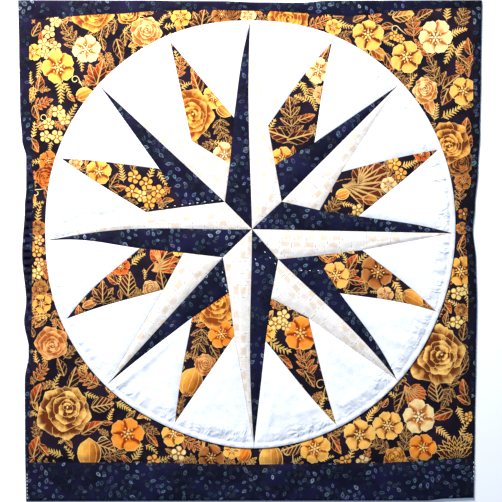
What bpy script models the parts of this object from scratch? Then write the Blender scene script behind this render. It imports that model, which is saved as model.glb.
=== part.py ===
"""A small star quilt laid out flat, face up.

A round panel pieced as a compass star is sewn on a flowered square, and a strip of leaf print
runs along each side. Sizes are in millimetres and the meshes are made in metres, +Z up and +Y
towards the quilt's upper edge. The origin is under the middle of the quilt, on its flat back.
"""

import math

import bmesh
import bpy
from mathutils import Vector
from mathutils.geometry import delaunay_2d_cdt, intersect_point_line

MM = 0.001
COLLECTION_NAME = "star_quilt"

# Layers, from the table up
GAP = 0.3
SEAM_HEIGHT = 3.0
CREST_HEIGHT = 5.4
FOLD_HEIGHT = 1.4
PANEL_BACK = SEAM_HEIGHT + GAP
PANEL_SEAM = 1.6
PANEL_CREST = 4.0
HEM_EDGE = 0.9
HEM_CREST = 3.0
HEM_FOOT = 2.1

# How far from a seam the filling reaches its full height
PUFF_REACH = 17.0
FOLD_REACH = 4.0
HEM_WIDTH = 8.0
VALLEY_OUTSET = 2.0 * GAP

# Fineness of the meshes: rows of points lie beside each seam, and a honeycomb fills the rest
SEAM_STEP = 13.0
SEAM_ROWS = (4.0, 10.0)
ROW_CLEARANCE = 0.96
HEM_ROWS = (1.6, 4.0, 8.0)
PUFF_STEP = 19.0
LEAST_SPACING = 2.2
RIM_STATIONS = 128
SIDE_STATIONS = 44
SIDE_ROWS = (0.0, 0.08, 0.2, 0.42, 0.68, 0.88, 1.0)
MEETING = 1e-4
INSIDE_ONLY = 1
LEVEL_ANGLE = math.radians(1.0)
SHARP_ANGLE = math.radians(50.0)

# Outer fold of each side: place along the side, distance out from the middle
LEFT_FOLD = ((-334.4, 298.8), (-262, 300.2), (-174, 300.6), (-134, 294.8), (-94, 301.5), (-69, 298.8),
             (-5, 304.2), (59, 300.6), (83, 298.8), (124, 298.8), (148, 304.2), (188, 306.9),
             (268, 308.2), (334.4, 309.5))
RIGHT_FOLD = ((-334.4, 298.8), (-230, 300.2), (-150, 301.5), (-67, 302.8), (-13, 301.5), (27, 297.5),
              (59, 300.2), (107, 304.2), (156, 306.9), (236, 308.2), (334.4, 309.5))
TOP_FOLD = ((-309.5, 334.4), (-134, 334.0), (-94, 333.3), (-40, 333.1), (13, 331.4), (67, 331.0),
            (107, 333.7), (309.5, 334.4))
BOTTOM_FOLD = ((-298.8, 334.4), (0, 334.0), (235, 333.8), (262, 331.0), (298.8, 330.0))

# Seam of each side strip, in the same two columns
LEFT_SEAM = ((-282.4, 294.0), (-258, 295.4), (-201, 293.5), (-67, 290.8), (67, 289.4), (80, 286.8),
             (121, 290.8), (168, 292.1), (201, 294.3), (268, 294.3), (308, 291.0), (334.4, 285.5))
RIGHT_SEAM = ((-276.0, 294.8), (-241, 297.5), (-201, 295.4), (-107, 290.1), (-67, 290.8), (0, 289.4),
              (40, 287.6), (67, 294.0), (174, 297.5), (308, 297.5), (334.4, 293.0))
TOP_SEAM = ((-291, 308.0), (-261, 311.2), (-188, 315.2), (-121, 319.3), (-67, 321.3), (23, 319.3),
            (87, 316.0), (130, 312.6), (173, 316.0), (201, 319.3), (235, 322.5), (297, 323.6))
BOTTOM_SEAM = ((-295, 282.4), (-161, 282.4), (0, 285.1), (173, 283.0), (216, 281.1), (296, 275.7))

# Rim of the round panel: bearing round its middle, radius
PANEL_MIDDLE = (2.0, 20.4)
BEARINGS = ("E", "ENE", "NE", "NNE", "N", "NNW", "NW", "WNW",
            "W", "WSW", "SW", "SSW", "S", "SSE", "SE", "ESE")
RIM_RADIUS = {"E": 271.3, "ENE": 278.0, "NE": 284.8, "NNE": 287.5, "N": 286.0, "NNW": 288.5,
              "NW": 286.0, "WNW": 281.0, "W": 274.5, "WSW": 277.8, "SW": 279.0, "SSW": 278.3,
              "S": 283.5, "SSE": 281.0, "SE": 276.0, "ESE": 270.8}

# The star: its heart, the tips of the eight long points, the roots of the four diagonal ones
STAR_HEART = (2.7, 28.5)
TIPS = {"N": (0.0, 303.2), "NE": (196.3, 219.4), "E": (269.6, 23.1), "SE": (195.6, -171.8),
        "S": (5.4, -260.3), "SW": (-189.6, -177.9), "W": (-268.7, 13.7), "NW": (-198.3, 217.4)}
ROOTS = {"NE": (42.2, 65.3), "SE": (37.6, -11.6), "SW": (-36.2, -9.0), "NW": (-33.5, 64.7)}

# The eight short points between them: neighbours anticlockwise and clockwise, root beside it,
# then the corners at its heart, its anticlockwise side, its clockwise side and its tip
KITES = {
    "NNE": ("N", "NE", "NE", (33.5, 114.2), (24.1, 166.5), (85.8, 143.7), (109.2, 277.0)),
    "ENE": ("NE", "E", "NE", (92.5, 53.9), (121.9, 104.9), (144.7, 45.9), (250.6, 134.3)),
    "ESE": ("E", "SE", "SE", (87.1, -6.9), (149.4, 0.6), (119.8, -56.6), (247.9, -81.0)),
    "SSE": ("SE", "S", "SE", (28.1, -63.3), (77.7, -89.4), (20.8, -120.3), (114.6, -231.5)),
    "SSW": ("S", "SW", "SW", (-28.1, -55.9), (-20.8, -113.6), (-77.1, -89.4), (-99.8, -228.8)),
    "WSW": ("SW", "W", "SW", (-88.4, -3.0), (-115.2, -51.9), (-147.0, 3.0), (-243.9, -90.8)),
    "WNW": ("W", "NW", "NW", (-88.4, 58.0), (-138.7, 51.3), (-120.6, 108.9), (-250.6, 122.3)),
    "NNW": ("NW", "N", "NW", (-26.8, 115.6), (-77.7, 146.4), (-21.4, 177.2), (-105.9, 277.7)),
}
KITE_CORNERS = ("heart", "left", "right", "tip")

# Seams that bow: how far the fullest place stands to the left of the straight line
BOWS = {
    ("heart", "N"): 3.0, ("heart", "S"): -4.3, ("heart", "W"): -9.0, ("root_SE", "SE"): 4.6,
    ("ESE_right", "SE"): 4.2, ("WSW_right", "W"): -4.3, ("NNW_right", "N"): 2.5,
    ("ENE_right", "E"): 2.6, ("SSW_right", "SW"): -1.2,
    ("NNE_left", "NNE_tip"): 3.2, ("NNE_right", "NNE_tip"): 1.5,
    ("ENE_left", "ENE_tip"): 1.5, ("ENE_right", "ENE_tip"): -1.2,
    ("ESE_left", "ESE_tip"): 2.4, ("ESE_right", "ESE_tip"): 3.2,
    ("SSE_left", "SSE_tip"): -1.2, ("SSE_right", "SSE_tip"): -2.0,
    ("SSW_right", "SSW_tip"): -1.8, ("WSW_left", "WSW_tip"): -2.2,
    ("WSW_right", "WSW_tip"): -5.0, ("WNW_left", "WNW_tip"): 1.5,
    ("WNW_right", "WNW_tip"): -1.8,
}
FULLEST = math.log(0.5) / math.log(0.6)

LEAF_PRINT = ("leaf_print_cotton", (0.018, 0.017, 0.045), 0.85)
FLORAL_PRINT = ("floral_print_cotton", (0.30, 0.13, 0.04), 0.85)
STAR_PATCHES = ("star_patch_cotton", (0.80, 0.79, 0.76), 0.85)


def eased(table, place):
    """Value at a place along a table of (place, value), easing from each row to the next."""
    if place <= table[0][0]:
        return table[0][1]
    for (start, low), (end, high) in zip(table, table[1:]):
        if place <= end:
            share = (place - start) / (end - start)
            return low + (high - low) * share * share * (3.0 - 2.0 * share)
    return table[-1][1]


def evenly(first, last, count):
    """Count + 1 even places from first to last."""
    return [first + (last - first) * step / count for step in range(count + 1)]


def rim_point(station, inset=0.0):
    """Point on the panel's rim, or inset towards its middle."""
    turn = station / RIM_STATIONS * len(BEARINGS)
    index = int(turn)
    before, low, high, after = (RIM_RADIUS[BEARINGS[(index + step) % len(BEARINGS)]]
                                for step in (-1, 0, 1, 2))
    share = turn - index
    slope_low = (high - before) / 2.0
    slope_high = (after - low) / 2.0
    rise = share * share * (3.0 - 2.0 * share)
    radius = low + (high - low) * rise
    radius += slope_low * share * (1.0 - share) ** 2 - slope_high * share * share * (1.0 - share)
    angle = 2.0 * math.pi * station / RIM_STATIONS
    return Vector((PANEL_MIDDLE[0] + (radius - inset) * math.cos(angle),
                   PANEL_MIDDLE[1] + (radius - inset) * math.sin(angle)))


def rim_ring(inset):
    """The panel's rim as a closed ring of points, inset towards its middle."""
    return [rim_point(station, inset) for station in range(RIM_STATIONS)]


def rim_beyond(tip):
    """Point just inside the rim, straight out from a tip of the star."""
    angle = math.atan2(tip[1] - PANEL_MIDDLE[1], tip[0] - PANEL_MIDDLE[0]) % (2.0 * math.pi)
    return rim_point(angle / (2.0 * math.pi) * RIM_STATIONS, HEM_ROWS[0])


def star_corners():
    """Every corner of the star by name."""
    corners = {"heart": Vector(STAR_HEART)}
    corners.update({bearing: Vector(tip) for bearing, tip in TIPS.items()})
    corners.update({"root_" + bearing: Vector(root) for bearing, root in ROOTS.items()})
    for kite, (_, _, _, *places) in KITES.items():
        for corner, place in zip(KITE_CORNERS, places):
            corners[f"{kite}_{corner}"] = Vector(place)
    for tip in [*TIPS, *(kite + "_tip" for kite in KITES)]:
        corners["beyond_" + tip] = rim_beyond(corners[tip])
    return corners


def seam_ends():
    """Names of the two corners that each seam of the star joins."""
    pairs = [("heart", "root_" + bearing) for bearing in ROOTS]
    for bearing in TIPS:
        foot = "root_" + bearing if bearing in ROOTS else "heart"
        pairs += [(foot, bearing), (bearing, "beyond_" + bearing)]
    for kite, (left_tip, right_tip, root, *_) in KITES.items():
        heart, left, right, tip = (f"{kite}_{corner}" for corner in KITE_CORNERS)
        pairs += [("root_" + root, heart), (heart, left), (left, left_tip), (heart, right),
                  (right, right_tip), (left, tip), (right, tip), (tip, "beyond_" + tip)]
    return pairs


def star_seams():
    """Every seam of the star as points a seam step apart, bowed where it was sewn so."""
    corners = star_corners()
    seams = []
    for pair in seam_ends():
        start, end = (corners[name] for name in pair)
        along = end - start
        across = Vector((-along.y, along.x)).normalized() * BOWS.get(pair, 0.0)
        count = max(1, round(along.length / SEAM_STEP))
        seams.append([start + along * share + across * math.sin(math.pi * share ** FULLEST)
                      for share in evenly(0.0, 1.0, count)])
    return seams


def distance_to(point, segments):
    """Distance from a point to the nearest of some segments."""
    nearest = math.inf
    for start, end in segments:
        foot, share = intersect_point_line(point, start, end)
        if share < 0.0:
            foot = start
        elif share > 1.0:
            foot = end
        nearest = min(nearest, (point - foot.to_2d()).length)
    return nearest


def segments_of(line, closed=False):
    """Pairs of neighbouring points of a line."""
    ends = line[1:] + line[:1] if closed else line[1:]
    return list(zip(line, ends))


def inside(point, ring):
    """Whether a point lies inside a ring."""
    crossings = 0
    for start, end in segments_of(ring, closed=True):
        if (start.y > point.y) != (end.y > point.y):
            crossings += point.x < start.x + (end.x - start.x) * (point.y - start.y) / (end.y - start.y)
    return crossings % 2 == 1


def quarter_round(share):
    """Quarter circle from 0 to 1 as share goes from 0 to 1, and level after it."""
    return math.sqrt(1.0 - (1.0 - min(share, 1.0)) ** 2)


def beside(line, segments):
    """Rows of points on both sides of a line, where they are clear of all the segments."""
    points = []
    for before, place, after in zip(line, line[1:], line[2:]):
        along = (after - before).normalized()
        across = Vector((-along.y, along.x))
        for offset in (side * row for row in SEAM_ROWS for side in (-1.0, 1.0)):
            point = place + across * offset
            if distance_to(point, segments) > ROW_CLEARANCE * abs(offset):
                points.append(point)
    return points


def spaced(points, kept=()):
    """The points that lie well clear of the kept ones and of each other."""
    kept = list(kept)
    chosen = []
    for point in points:
        if all((point - other).length > LEAST_SPACING for other in kept):
            kept.append(point)
            chosen.append(point)
    return chosen


def honeycomb(ring, segments):
    """Points a puff step apart inside a ring, clear of the rows beside some segments."""
    low = Vector((min(point.x for point in ring), min(point.y for point in ring)))
    high = Vector((max(point.x for point in ring), max(point.y for point in ring)))
    row_step = PUFF_STEP * math.sqrt(0.75)
    points = []
    for row in range(1, int((high.y - low.y) / row_step) + 1):
        for column in range(1, int((high.x - low.x) / PUFF_STEP) + 1):
            point = Vector((low.x + (column + 0.5 * (row % 2)) * PUFF_STEP, low.y + row * row_step))
            if inside(point, ring) and distance_to(point, segments) > SEAM_ROWS[-1] + LEAST_SPACING:
                points.append(point)
    return points


def material(name, colour, roughness):
    """A plain Principled material, made once."""
    made = bpy.data.materials.get(name)
    if made is None:
        made = bpy.data.materials.new(name)
        made.use_nodes = True
        shader = made.node_tree.nodes["Principled BSDF"]
        shader.inputs["Base Color"].default_value = (*colour, 1.0)
        shader.inputs["Roughness"].default_value = roughness
        shader.inputs["Metallic"].default_value = 0.0
        made.diffuse_color = (*colour, 1.0)
    return made


def thicken(sheet, back, height_at):
    """Close a flat sheet of faces with a flat back, and raise its face to height_at(x, y)."""
    tops = list(sheet.verts)
    made = bmesh.ops.extrude_face_region(sheet, geom=list(sheet.faces))["geom"]
    backs = [item for item in made if isinstance(item, bmesh.types.BMVert)]
    back_edges = [item for item in made if isinstance(item, bmesh.types.BMEdge)]
    for vertex in tops:
        vertex.co.z = height_at(vertex.co.x, vertex.co.y)
    for vertex in backs:
        vertex.co.z = back
    sheet.normal_update()
    bmesh.ops.dissolve_limit(sheet, angle_limit=LEVEL_ANGLE, verts=backs, edges=back_edges)


def merge_level(sheet, height):
    """Merge the level faces at a height into one."""
    level = [vertex for vertex in sheet.verts if abs(vertex.co.z - height) < MEETING]
    level_edges = [edge for edge in sheet.edges if all(vertex in level for vertex in edge.verts)]
    bmesh.ops.dissolve_limit(sheet, angle_limit=LEVEL_ANGLE, verts=level, edges=level_edges)


def cloth_piece(name, sheet, finish):
    """Make an object of a closed sheet."""
    bmesh.ops.scale(sheet, vec=(MM, MM, MM), verts=sheet.verts)
    bmesh.ops.recalc_face_normals(sheet, faces=sheet.faces)
    mesh = bpy.data.meshes.new(name)
    sheet.to_mesh(mesh)
    sheet.free()
    mesh.shade_smooth()
    mesh.set_sharp_from_angle(angle=SHARP_ANGLE)
    mesh.materials.append(material(*finish))
    piece = bpy.data.objects.new(name, mesh)
    bpy.data.collections[COLLECTION_NAME].objects.link(piece)


def creased_sheet(ring, creases, points):
    """Triangles inside a ring, with each crease an edge and the loose points between."""
    coords = list(ring)
    edges = []
    for crease, closed in creases:
        first = len(coords)
        coords += crease
        edges += [(first + index, first + index + 1) for index in range(len(crease) - 1)]
        if closed:
            edges.append((len(coords) - 1, first))
    coords += points
    outline = [list(range(len(ring)))]
    places, _, faces, *_ = delaunay_2d_cdt(coords, edges, outline, INSIDE_ONLY, MEETING)
    sheet = bmesh.new()
    corners = [sheet.verts.new((place.x, place.y, 0.0)) for place in places]
    for face in faces:
        sheet.faces.new([corners[index] for index in face])
    loose = [vertex for vertex in sheet.verts if not vertex.link_faces]
    bmesh.ops.delete(sheet, geom=loose, context="VERTS")
    return sheet


def across_at(line, y):
    """Place across the quilt where a line that runs up it passes a height."""
    for low, high in zip(line, line[1:]):
        if low.y <= y <= high.y:
            return low.lerp(high, (y - low.y) / (high.y - low.y)).x
    return line[-1].x


def side_lines():
    """Seam and fold of each side strip, as matching lists of points."""
    half = GAP / 2.0
    lines = {}
    low = -BOTTOM_SEAM[0][1] + half
    ys = evenly(low, LEFT_FOLD[-1][0], SIDE_STATIONS)
    lines["left"] = ([Vector((-eased(LEFT_SEAM, y) - half, y)) for y in ys],
                     [Vector((-eased(LEFT_FOLD, y), y)) for y in ys])
    low = -BOTTOM_SEAM[-1][1] + half
    ys = evenly(low, RIGHT_FOLD[-1][0], SIDE_STATIONS)
    lines["right"] = ([Vector((eased(RIGHT_SEAM, y) + half, y)) for y in ys],
                      [Vector((eased(RIGHT_FOLD, y), y)) for y in ys])
    seam_xs = evenly(across_at(lines["left"][0], TOP_SEAM[0][1] + half) + GAP,
                     across_at(lines["right"][0], TOP_SEAM[-1][1] + half) - GAP, SIDE_STATIONS)
    fold_xs = evenly(-LEFT_SEAM[-1][1] + half, RIGHT_SEAM[-1][1] - half, SIDE_STATIONS)
    lines["top"] = ([Vector((x, eased(TOP_SEAM, x) + half)) for x in seam_xs],
                    [Vector((x, eased(TOP_FOLD, x))) for x in fold_xs])
    seam_xs = evenly(-eased(LEFT_FOLD, -BOTTOM_SEAM[0][1]),
                     eased(RIGHT_FOLD, -BOTTOM_SEAM[-1][1]), SIDE_STATIONS)
    fold_xs = evenly(-LEFT_FOLD[0][1], RIGHT_FOLD[0][1], SIDE_STATIONS)
    lines["bottom"] = ([Vector((x, -eased(BOTTOM_SEAM, x) - half)) for x in seam_xs],
                       [Vector((x, -eased(BOTTOM_FOLD, x))) for x in fold_xs])
    return lines


def ground_outline(lines):
    """Outline of the flowered square: the four seams, closed up by the gap to each strip."""
    bottom = [point + Vector((0.0, GAP)) for point in lines["bottom"][0]]
    right = [point - Vector((GAP, 0.0)) for point in lines["right"][0]]
    top = [point - Vector((0.0, GAP)) for point in lines["top"][0]]
    left = [point + Vector((GAP, 0.0)) for point in lines["left"][0]]
    corners = [Vector((left[0].x, bottom[0].y)), Vector((right[0].x, bottom[-1].y)),
               Vector((right[-1].x, top[-1].y)), Vector((left[-1].x, top[0].y))]
    ring = [corners[0]] + [point for point in bottom if corners[0].x < point.x < corners[1].x]
    ring += [corners[1]] + [point for point in right if corners[1].y < point.y < corners[2].y]
    ring += [corners[2]] + [point for point in reversed(top) if corners[3].x < point.x < corners[2].x]
    ring += [corners[3]] + [point for point in reversed(left) if corners[0].y < point.y < corners[3].y]
    return ring


def side_strip(side, seam, fold):
    """One side strip: a loft from its seam to its folded edge, level on its back."""
    last_row = len(SIDE_ROWS) - 1
    sheet = bmesh.new()
    bmesh.ops.create_grid(sheet, x_segments=SIDE_STATIONS, y_segments=last_row, size=0.5)
    heights = {}
    for vertex in sheet.verts:
        station = round((vertex.co.x + 0.5) * SIDE_STATIONS)
        share = SIDE_ROWS[round((vertex.co.y + 0.5) * last_row)]
        width = (fold[station] - seam[station]).length
        vertex.co = (*fold[station].lerp(seam[station], share), 0.0)
        puff = quarter_round((1.0 - share) * width / PUFF_REACH)
        crest = SEAM_HEIGHT + (CREST_HEIGHT - SEAM_HEIGHT) * puff
        turned = quarter_round(share * width / FOLD_REACH)
        heights[vertex.co.x, vertex.co.y] = FOLD_HEIGHT + (crest - FOLD_HEIGHT) * turned
    thicken(sheet, 0.0, lambda x, y: heights[x, y])
    cloth_piece("border_" + side, sheet, LEAF_PRINT)


def floral_ground(lines):
    """The flowered square: puffed outside the round panel, level under it."""
    ring = ground_outline(lines)
    valley = rim_ring(-VALLEY_OUTSET)
    level_area = rim_ring(-1.2 * VALLEY_OUTSET)
    edges = [ring + ring[:2], valley + valley[:2]]
    segments = segments_of(ring, closed=True) + segments_of(valley, closed=True)
    points = [point for edge in edges for point in beside(edge, segments)]
    points += honeycomb(ring, segments)
    points = [point for point in points if inside(point, ring) and not inside(point, valley)]
    sheet = creased_sheet(ring, [(valley, True)], spaced(points))

    def height(x, y):
        """Level within the valley, rising from it and from the outline."""
        point = Vector((x, y))
        if inside(point, level_area):
            return SEAM_HEIGHT
        rise = quarter_round(distance_to(point, segments) / PUFF_REACH)
        return SEAM_HEIGHT + (CREST_HEIGHT - SEAM_HEIGHT) * rise

    thicken(sheet, 0.0, height)
    merge_level(sheet, SEAM_HEIGHT)
    cloth_piece("floral_ground", sheet, FLORAL_PRINT)


def compass_panel():
    """The round panel: a star whose seams lie low between puffed patches, hemmed at its rim."""
    ring = rim_ring(0.0)
    seams = star_seams()
    seam_segments = [segment for seam in seams for segment in segments_of(seam)]
    hem_segments = segments_of(ring, closed=True)
    within = rim_ring(HEM_WIDTH + LEAST_SPACING)
    inner = [point for seam in seams for point in beside(seam, seam_segments)]
    inner += honeycomb(within, seam_segments)
    points = [point for row in HEM_ROWS for point in rim_ring(row)]
    points += [point for point in inner if inside(point, within)]
    kept = [point for seam in seams for point in seam]
    sheet = creased_sheet(ring, [(seam, False) for seam in seams], spaced(points, kept))

    def height(x, y):
        """Lowest at the seams and rim, with the turned hem as a low ridge."""
        point = Vector((x, y))
        puff = quarter_round(distance_to(point, seam_segments) / PUFF_REACH)
        patch = PANEL_SEAM + (PANEL_CREST - PANEL_SEAM) * puff
        inward = distance_to(point, hem_segments) / HEM_WIDTH
        if inward < 0.5:
            hem = HEM_EDGE + (HEM_CREST - HEM_EDGE) * quarter_round(2.0 * inward)
        else:
            hem = HEM_CREST + (HEM_FOOT - HEM_CREST) * (2.0 * inward - 1.0)
        if inward < 1.0:
            return PANEL_BACK + hem
        settle = min(1.0, (inward - 1.0) * HEM_WIDTH / PUFF_REACH)
        return PANEL_BACK + min(patch, HEM_FOOT + (PANEL_CREST - HEM_FOOT) * quarter_round(settle))

    thicken(sheet, PANEL_BACK, height)
    cloth_piece("compass_panel", sheet, STAR_PATCHES)


def main():
    """Clear the scene and build the quilt's pieces."""
    for thing in list(bpy.data.objects):
        bpy.data.objects.remove(thing, do_unlink=True)
    collection = bpy.data.collections.new(COLLECTION_NAME)
    bpy.context.scene.collection.children.link(collection)
    lines = side_lines()
    floral_ground(lines)
    compass_panel()
    for side, (seam, fold) in lines.items():
        side_strip(side, seam, fold)


main()
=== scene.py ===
"""A small star quilt laid out flat: its cloths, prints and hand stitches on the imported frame.

A round panel pieced from forty puffed patches lies on a flowered square, a strip of leaf print
is folded over each side, and a plain back closes the quilt. Sizes are in millimetres, and the
meshes are made in metres. Each cloth is cut flat with the outlines of its print as edges of the
mesh, and is then raised onto the quilt's uneven face.
"""

import logging
import math
from collections.abc import Callable, Iterator, Sequence
from dataclasses import dataclass, field
from enum import Enum

import bpy
import numpy as np
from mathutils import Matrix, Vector
from mathutils.geometry import delaunay_2d_cdt


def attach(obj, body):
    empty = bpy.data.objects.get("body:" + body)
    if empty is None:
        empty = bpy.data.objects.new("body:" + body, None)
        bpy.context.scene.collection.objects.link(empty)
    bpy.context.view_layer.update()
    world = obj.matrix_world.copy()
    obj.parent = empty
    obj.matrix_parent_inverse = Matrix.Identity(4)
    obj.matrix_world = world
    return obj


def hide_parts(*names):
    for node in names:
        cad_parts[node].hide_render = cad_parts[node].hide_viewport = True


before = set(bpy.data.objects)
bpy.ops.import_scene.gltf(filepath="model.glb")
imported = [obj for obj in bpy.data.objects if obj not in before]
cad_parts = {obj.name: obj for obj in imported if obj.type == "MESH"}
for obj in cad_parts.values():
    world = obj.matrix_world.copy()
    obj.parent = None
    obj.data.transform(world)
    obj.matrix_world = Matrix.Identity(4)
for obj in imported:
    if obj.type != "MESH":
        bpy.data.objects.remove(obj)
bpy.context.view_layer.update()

LOG = logging.getLogger("star_quilt")
MM = 0.001
BODY = "root"

Colour = tuple[float, float, float]
Row = tuple[float, ...]
Array = np.ndarray
Surface = Callable[[Array], Array]
Piece = bpy.types.Object
Material = bpy.types.Material
Tree = bpy.types.NodeTree

# Outer fold of each side: place along the side, distance out from the middle
FOLDS = {
    "left": ((-334.4, 298.8), (-262, 300.2), (-174, 300.6), (-134, 294.8), (-94, 301.5),
             (-69, 298.8), (-5, 304.2), (59, 300.6), (83, 298.8), (124, 298.8), (148, 304.2),
             (188, 306.9), (268, 308.2), (334.4, 309.5)),
    "right": ((-334.4, 298.8), (-230, 300.2), (-150, 301.5), (-67, 302.8), (-13, 301.5),
              (27, 297.5), (59, 300.2), (107, 304.2), (156, 306.9), (236, 308.2),
              (334.4, 309.5)),
    "top": ((-309.5, 334.4), (-134, 334.0), (-94, 333.3), (-40, 333.1), (13, 331.4),
            (67, 331.0), (107, 333.7), (309.5, 334.4)),
    "bottom": ((-298.8, 334.4), (0, 334.0), (235, 333.8), (262, 331.0), (298.8, 330.0)),
}

# Seam of each side strip, in the same two columns
SEAMS = {
    "left": ((-282.4, 294.0), (-258, 295.4), (-201, 293.5), (-67, 290.8), (67, 289.4),
             (80, 286.8), (121, 290.8), (168, 292.1), (201, 294.3), (268, 294.3), (308, 291.0),
             (334.4, 285.5)),
    "right": ((-276.0, 294.8), (-241, 297.5), (-201, 295.4), (-107, 290.1), (-67, 290.8),
              (0, 289.4), (40, 287.6), (67, 294.0), (174, 297.5), (308, 297.5),
              (334.4, 293.0)),
    "top": ((-291, 308.0), (-261, 311.2), (-188, 315.2), (-121, 319.3), (-67, 321.3),
            (23, 319.3), (87, 316.0), (130, 312.6), (173, 316.0), (201, 319.3), (235, 322.5),
            (297, 323.6)),
    "bottom": ((-295, 282.4), (-161, 282.4), (0, 285.1), (173, 283.0), (216, 281.1),
               (296, 275.7)),
}

# Rim of the round panel: its middle, and its radius at each bearing anticlockwise from east
PANEL_MIDDLE = (2.0, 20.4)
RIM_RADIUS = (271.3, 278.0, 284.8, 287.5, 286.0, 288.5, 286.0, 281.0,
              274.5, 277.8, 279.0, 278.3, 283.5, 281.0, 276.0, 270.8)

# The star: its heart, the tips of the eight long points, the roots of the four diagonal ones
STAR_HEART = (2.7, 28.5)
TIPS = {"N": (0.0, 303.2), "NE": (196.3, 219.4), "E": (269.6, 23.1), "SE": (195.6, -171.8),
        "S": (5.4, -260.3), "SW": (-189.6, -177.9), "W": (-268.7, 13.7), "NW": (-198.3, 217.4)}
ROOTS = {"NE": (42.2, 65.3), "SE": (37.6, -11.6), "SW": (-36.2, -9.0), "NW": (-33.5, 64.7)}

# The eight short points: their neighbours anticlockwise and clockwise, the root beside them, and
# their corners at the heart, the anticlockwise side, the clockwise side and the tip
KITES = {
    "NNE": ("N", "NE", "NE", (33.5, 114.2), (24.1, 166.5), (85.8, 143.7), (109.2, 277.0)),
    "ENE": ("NE", "E", "NE", (92.5, 53.9), (121.9, 104.9), (144.7, 45.9), (250.6, 134.3)),
    "ESE": ("E", "SE", "SE", (87.1, -6.9), (149.4, 0.6), (119.8, -56.6), (247.9, -81.0)),
    "SSE": ("SE", "S", "SE", (28.1, -63.3), (77.7, -89.4), (20.8, -120.3), (114.6, -231.5)),
    "SSW": ("S", "SW", "SW", (-28.1, -55.9), (-20.8, -113.6), (-77.1, -89.4), (-99.8, -228.8)),
    "WSW": ("SW", "W", "SW", (-88.4, -3.0), (-115.2, -51.9), (-147.0, 3.0), (-243.9, -90.8)),
    "WNW": ("W", "NW", "NW", (-88.4, 58.0), (-138.7, 51.3), (-120.6, 108.9), (-250.6, 122.3)),
    "NNW": ("NW", "N", "NW", (-26.8, 115.6), (-77.7, 146.4), (-21.4, 177.2), (-105.9, 277.7)),
}

# Seams that bow: how far their fullest place stands to the left of the straight line
BOWS = {
    ("heart", "N"): 3.0, ("heart", "S"): -4.3, ("heart", "W"): -9.0, ("root_SE", "SE"): 4.6,
    ("ESE_right", "SE"): 4.2, ("WSW_right", "W"): -4.3, ("NNW_right", "N"): 2.5,
    ("ENE_right", "E"): 2.6, ("SSW_right", "SW"): -1.2,
    ("NNE_left", "NNE_tip"): 3.2, ("NNE_right", "NNE_tip"): 1.5,
    ("ENE_left", "ENE_tip"): 1.5, ("ENE_right", "ENE_tip"): -1.2,
    ("ESE_left", "ESE_tip"): 2.4, ("ESE_right", "ESE_tip"): 3.2,
    ("SSE_left", "SSE_tip"): -1.2, ("SSE_right", "SSE_tip"): -2.0,
    ("SSW_right", "SSW_tip"): -1.8, ("WSW_left", "WSW_tip"): -2.2,
    ("WSW_right", "WSW_tip"): -5.0, ("WNW_left", "WNW_tip"): 1.5,
    ("WNW_right", "WNW_tip"): -1.8,
}
# Power of a share that puts the fullest place of a bow six tenths along its seam
FULLEST = math.log(0.5) / math.log(0.6)

# Soft ridges in the face, and troughs where the height is below 0: start, end, height, half width
CREASES = (
    ((-147, 6), (-265, 14), 1.9, 4.0), ((-174, 56), (-221, 52), 2.4, 3.4),
    ((-221, 52), (-262, 35), 2.4, 3.4), ((-100, -116), (-184, -186), 2.6, 4.2),
    ((-176, -96), (-222, -138), 1.1, 5.0), ((150, 3), (268, 21), 1.9, 3.8),
    ((187.6, 179), (221, 202), 1.0, 3.0), ((214, 180), (235, 183), 1.0, 3.0),
    ((259, 96), (262, 38), 1.3, 5.0), ((20, -150), (13, -214), 1.4, 3.8),
    ((88.4, 60), (88.4, 27), -0.9, 2.0), ((4, -65), (30, -66), -0.9, 2.0),
    ((-20, 150), (2, 146), -0.6, 2.0), ((150, -122), (190, -160), 0.9, 4.5),
    ((60, -218), (96, -206), 1.2, 5.0), ((-60, -232), (-24, -240), 1.2, 5.0),
    ((118, -150), (150, -196), -0.9, 6.0), ((-140, -150), (-152, -196), 1.0, 4.5),
    ((-120, -196), (-96, -214), 1.3, 4.0), ((30, -196), (24, -236), 1.2, 4.0),
    ((176, -112), (214, -128), 1.1, 4.0), ((120, -206), (150, -190), 1.2, 4.0),
)

# White hand stitches: start and end of each row, and how many
STITCH_ROWS = (
    ((-140, 54.5), (-40, 67.5), 11), ((-36.5, -29), (-31, -54), 4), ((20, -2), (40.5, -25), 4),
    ((68.3, -26.4), (91, -26.6), 3), ((29.6, 67), (34.6, 104.5), 4), ((7.4, -11.6), (7.8, -13), 1),
    ((-296.8, -298.4), (-296.6, -329.4), 8), ((298.2, -282.5), (298.0, -300.5), 4),
)

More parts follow.
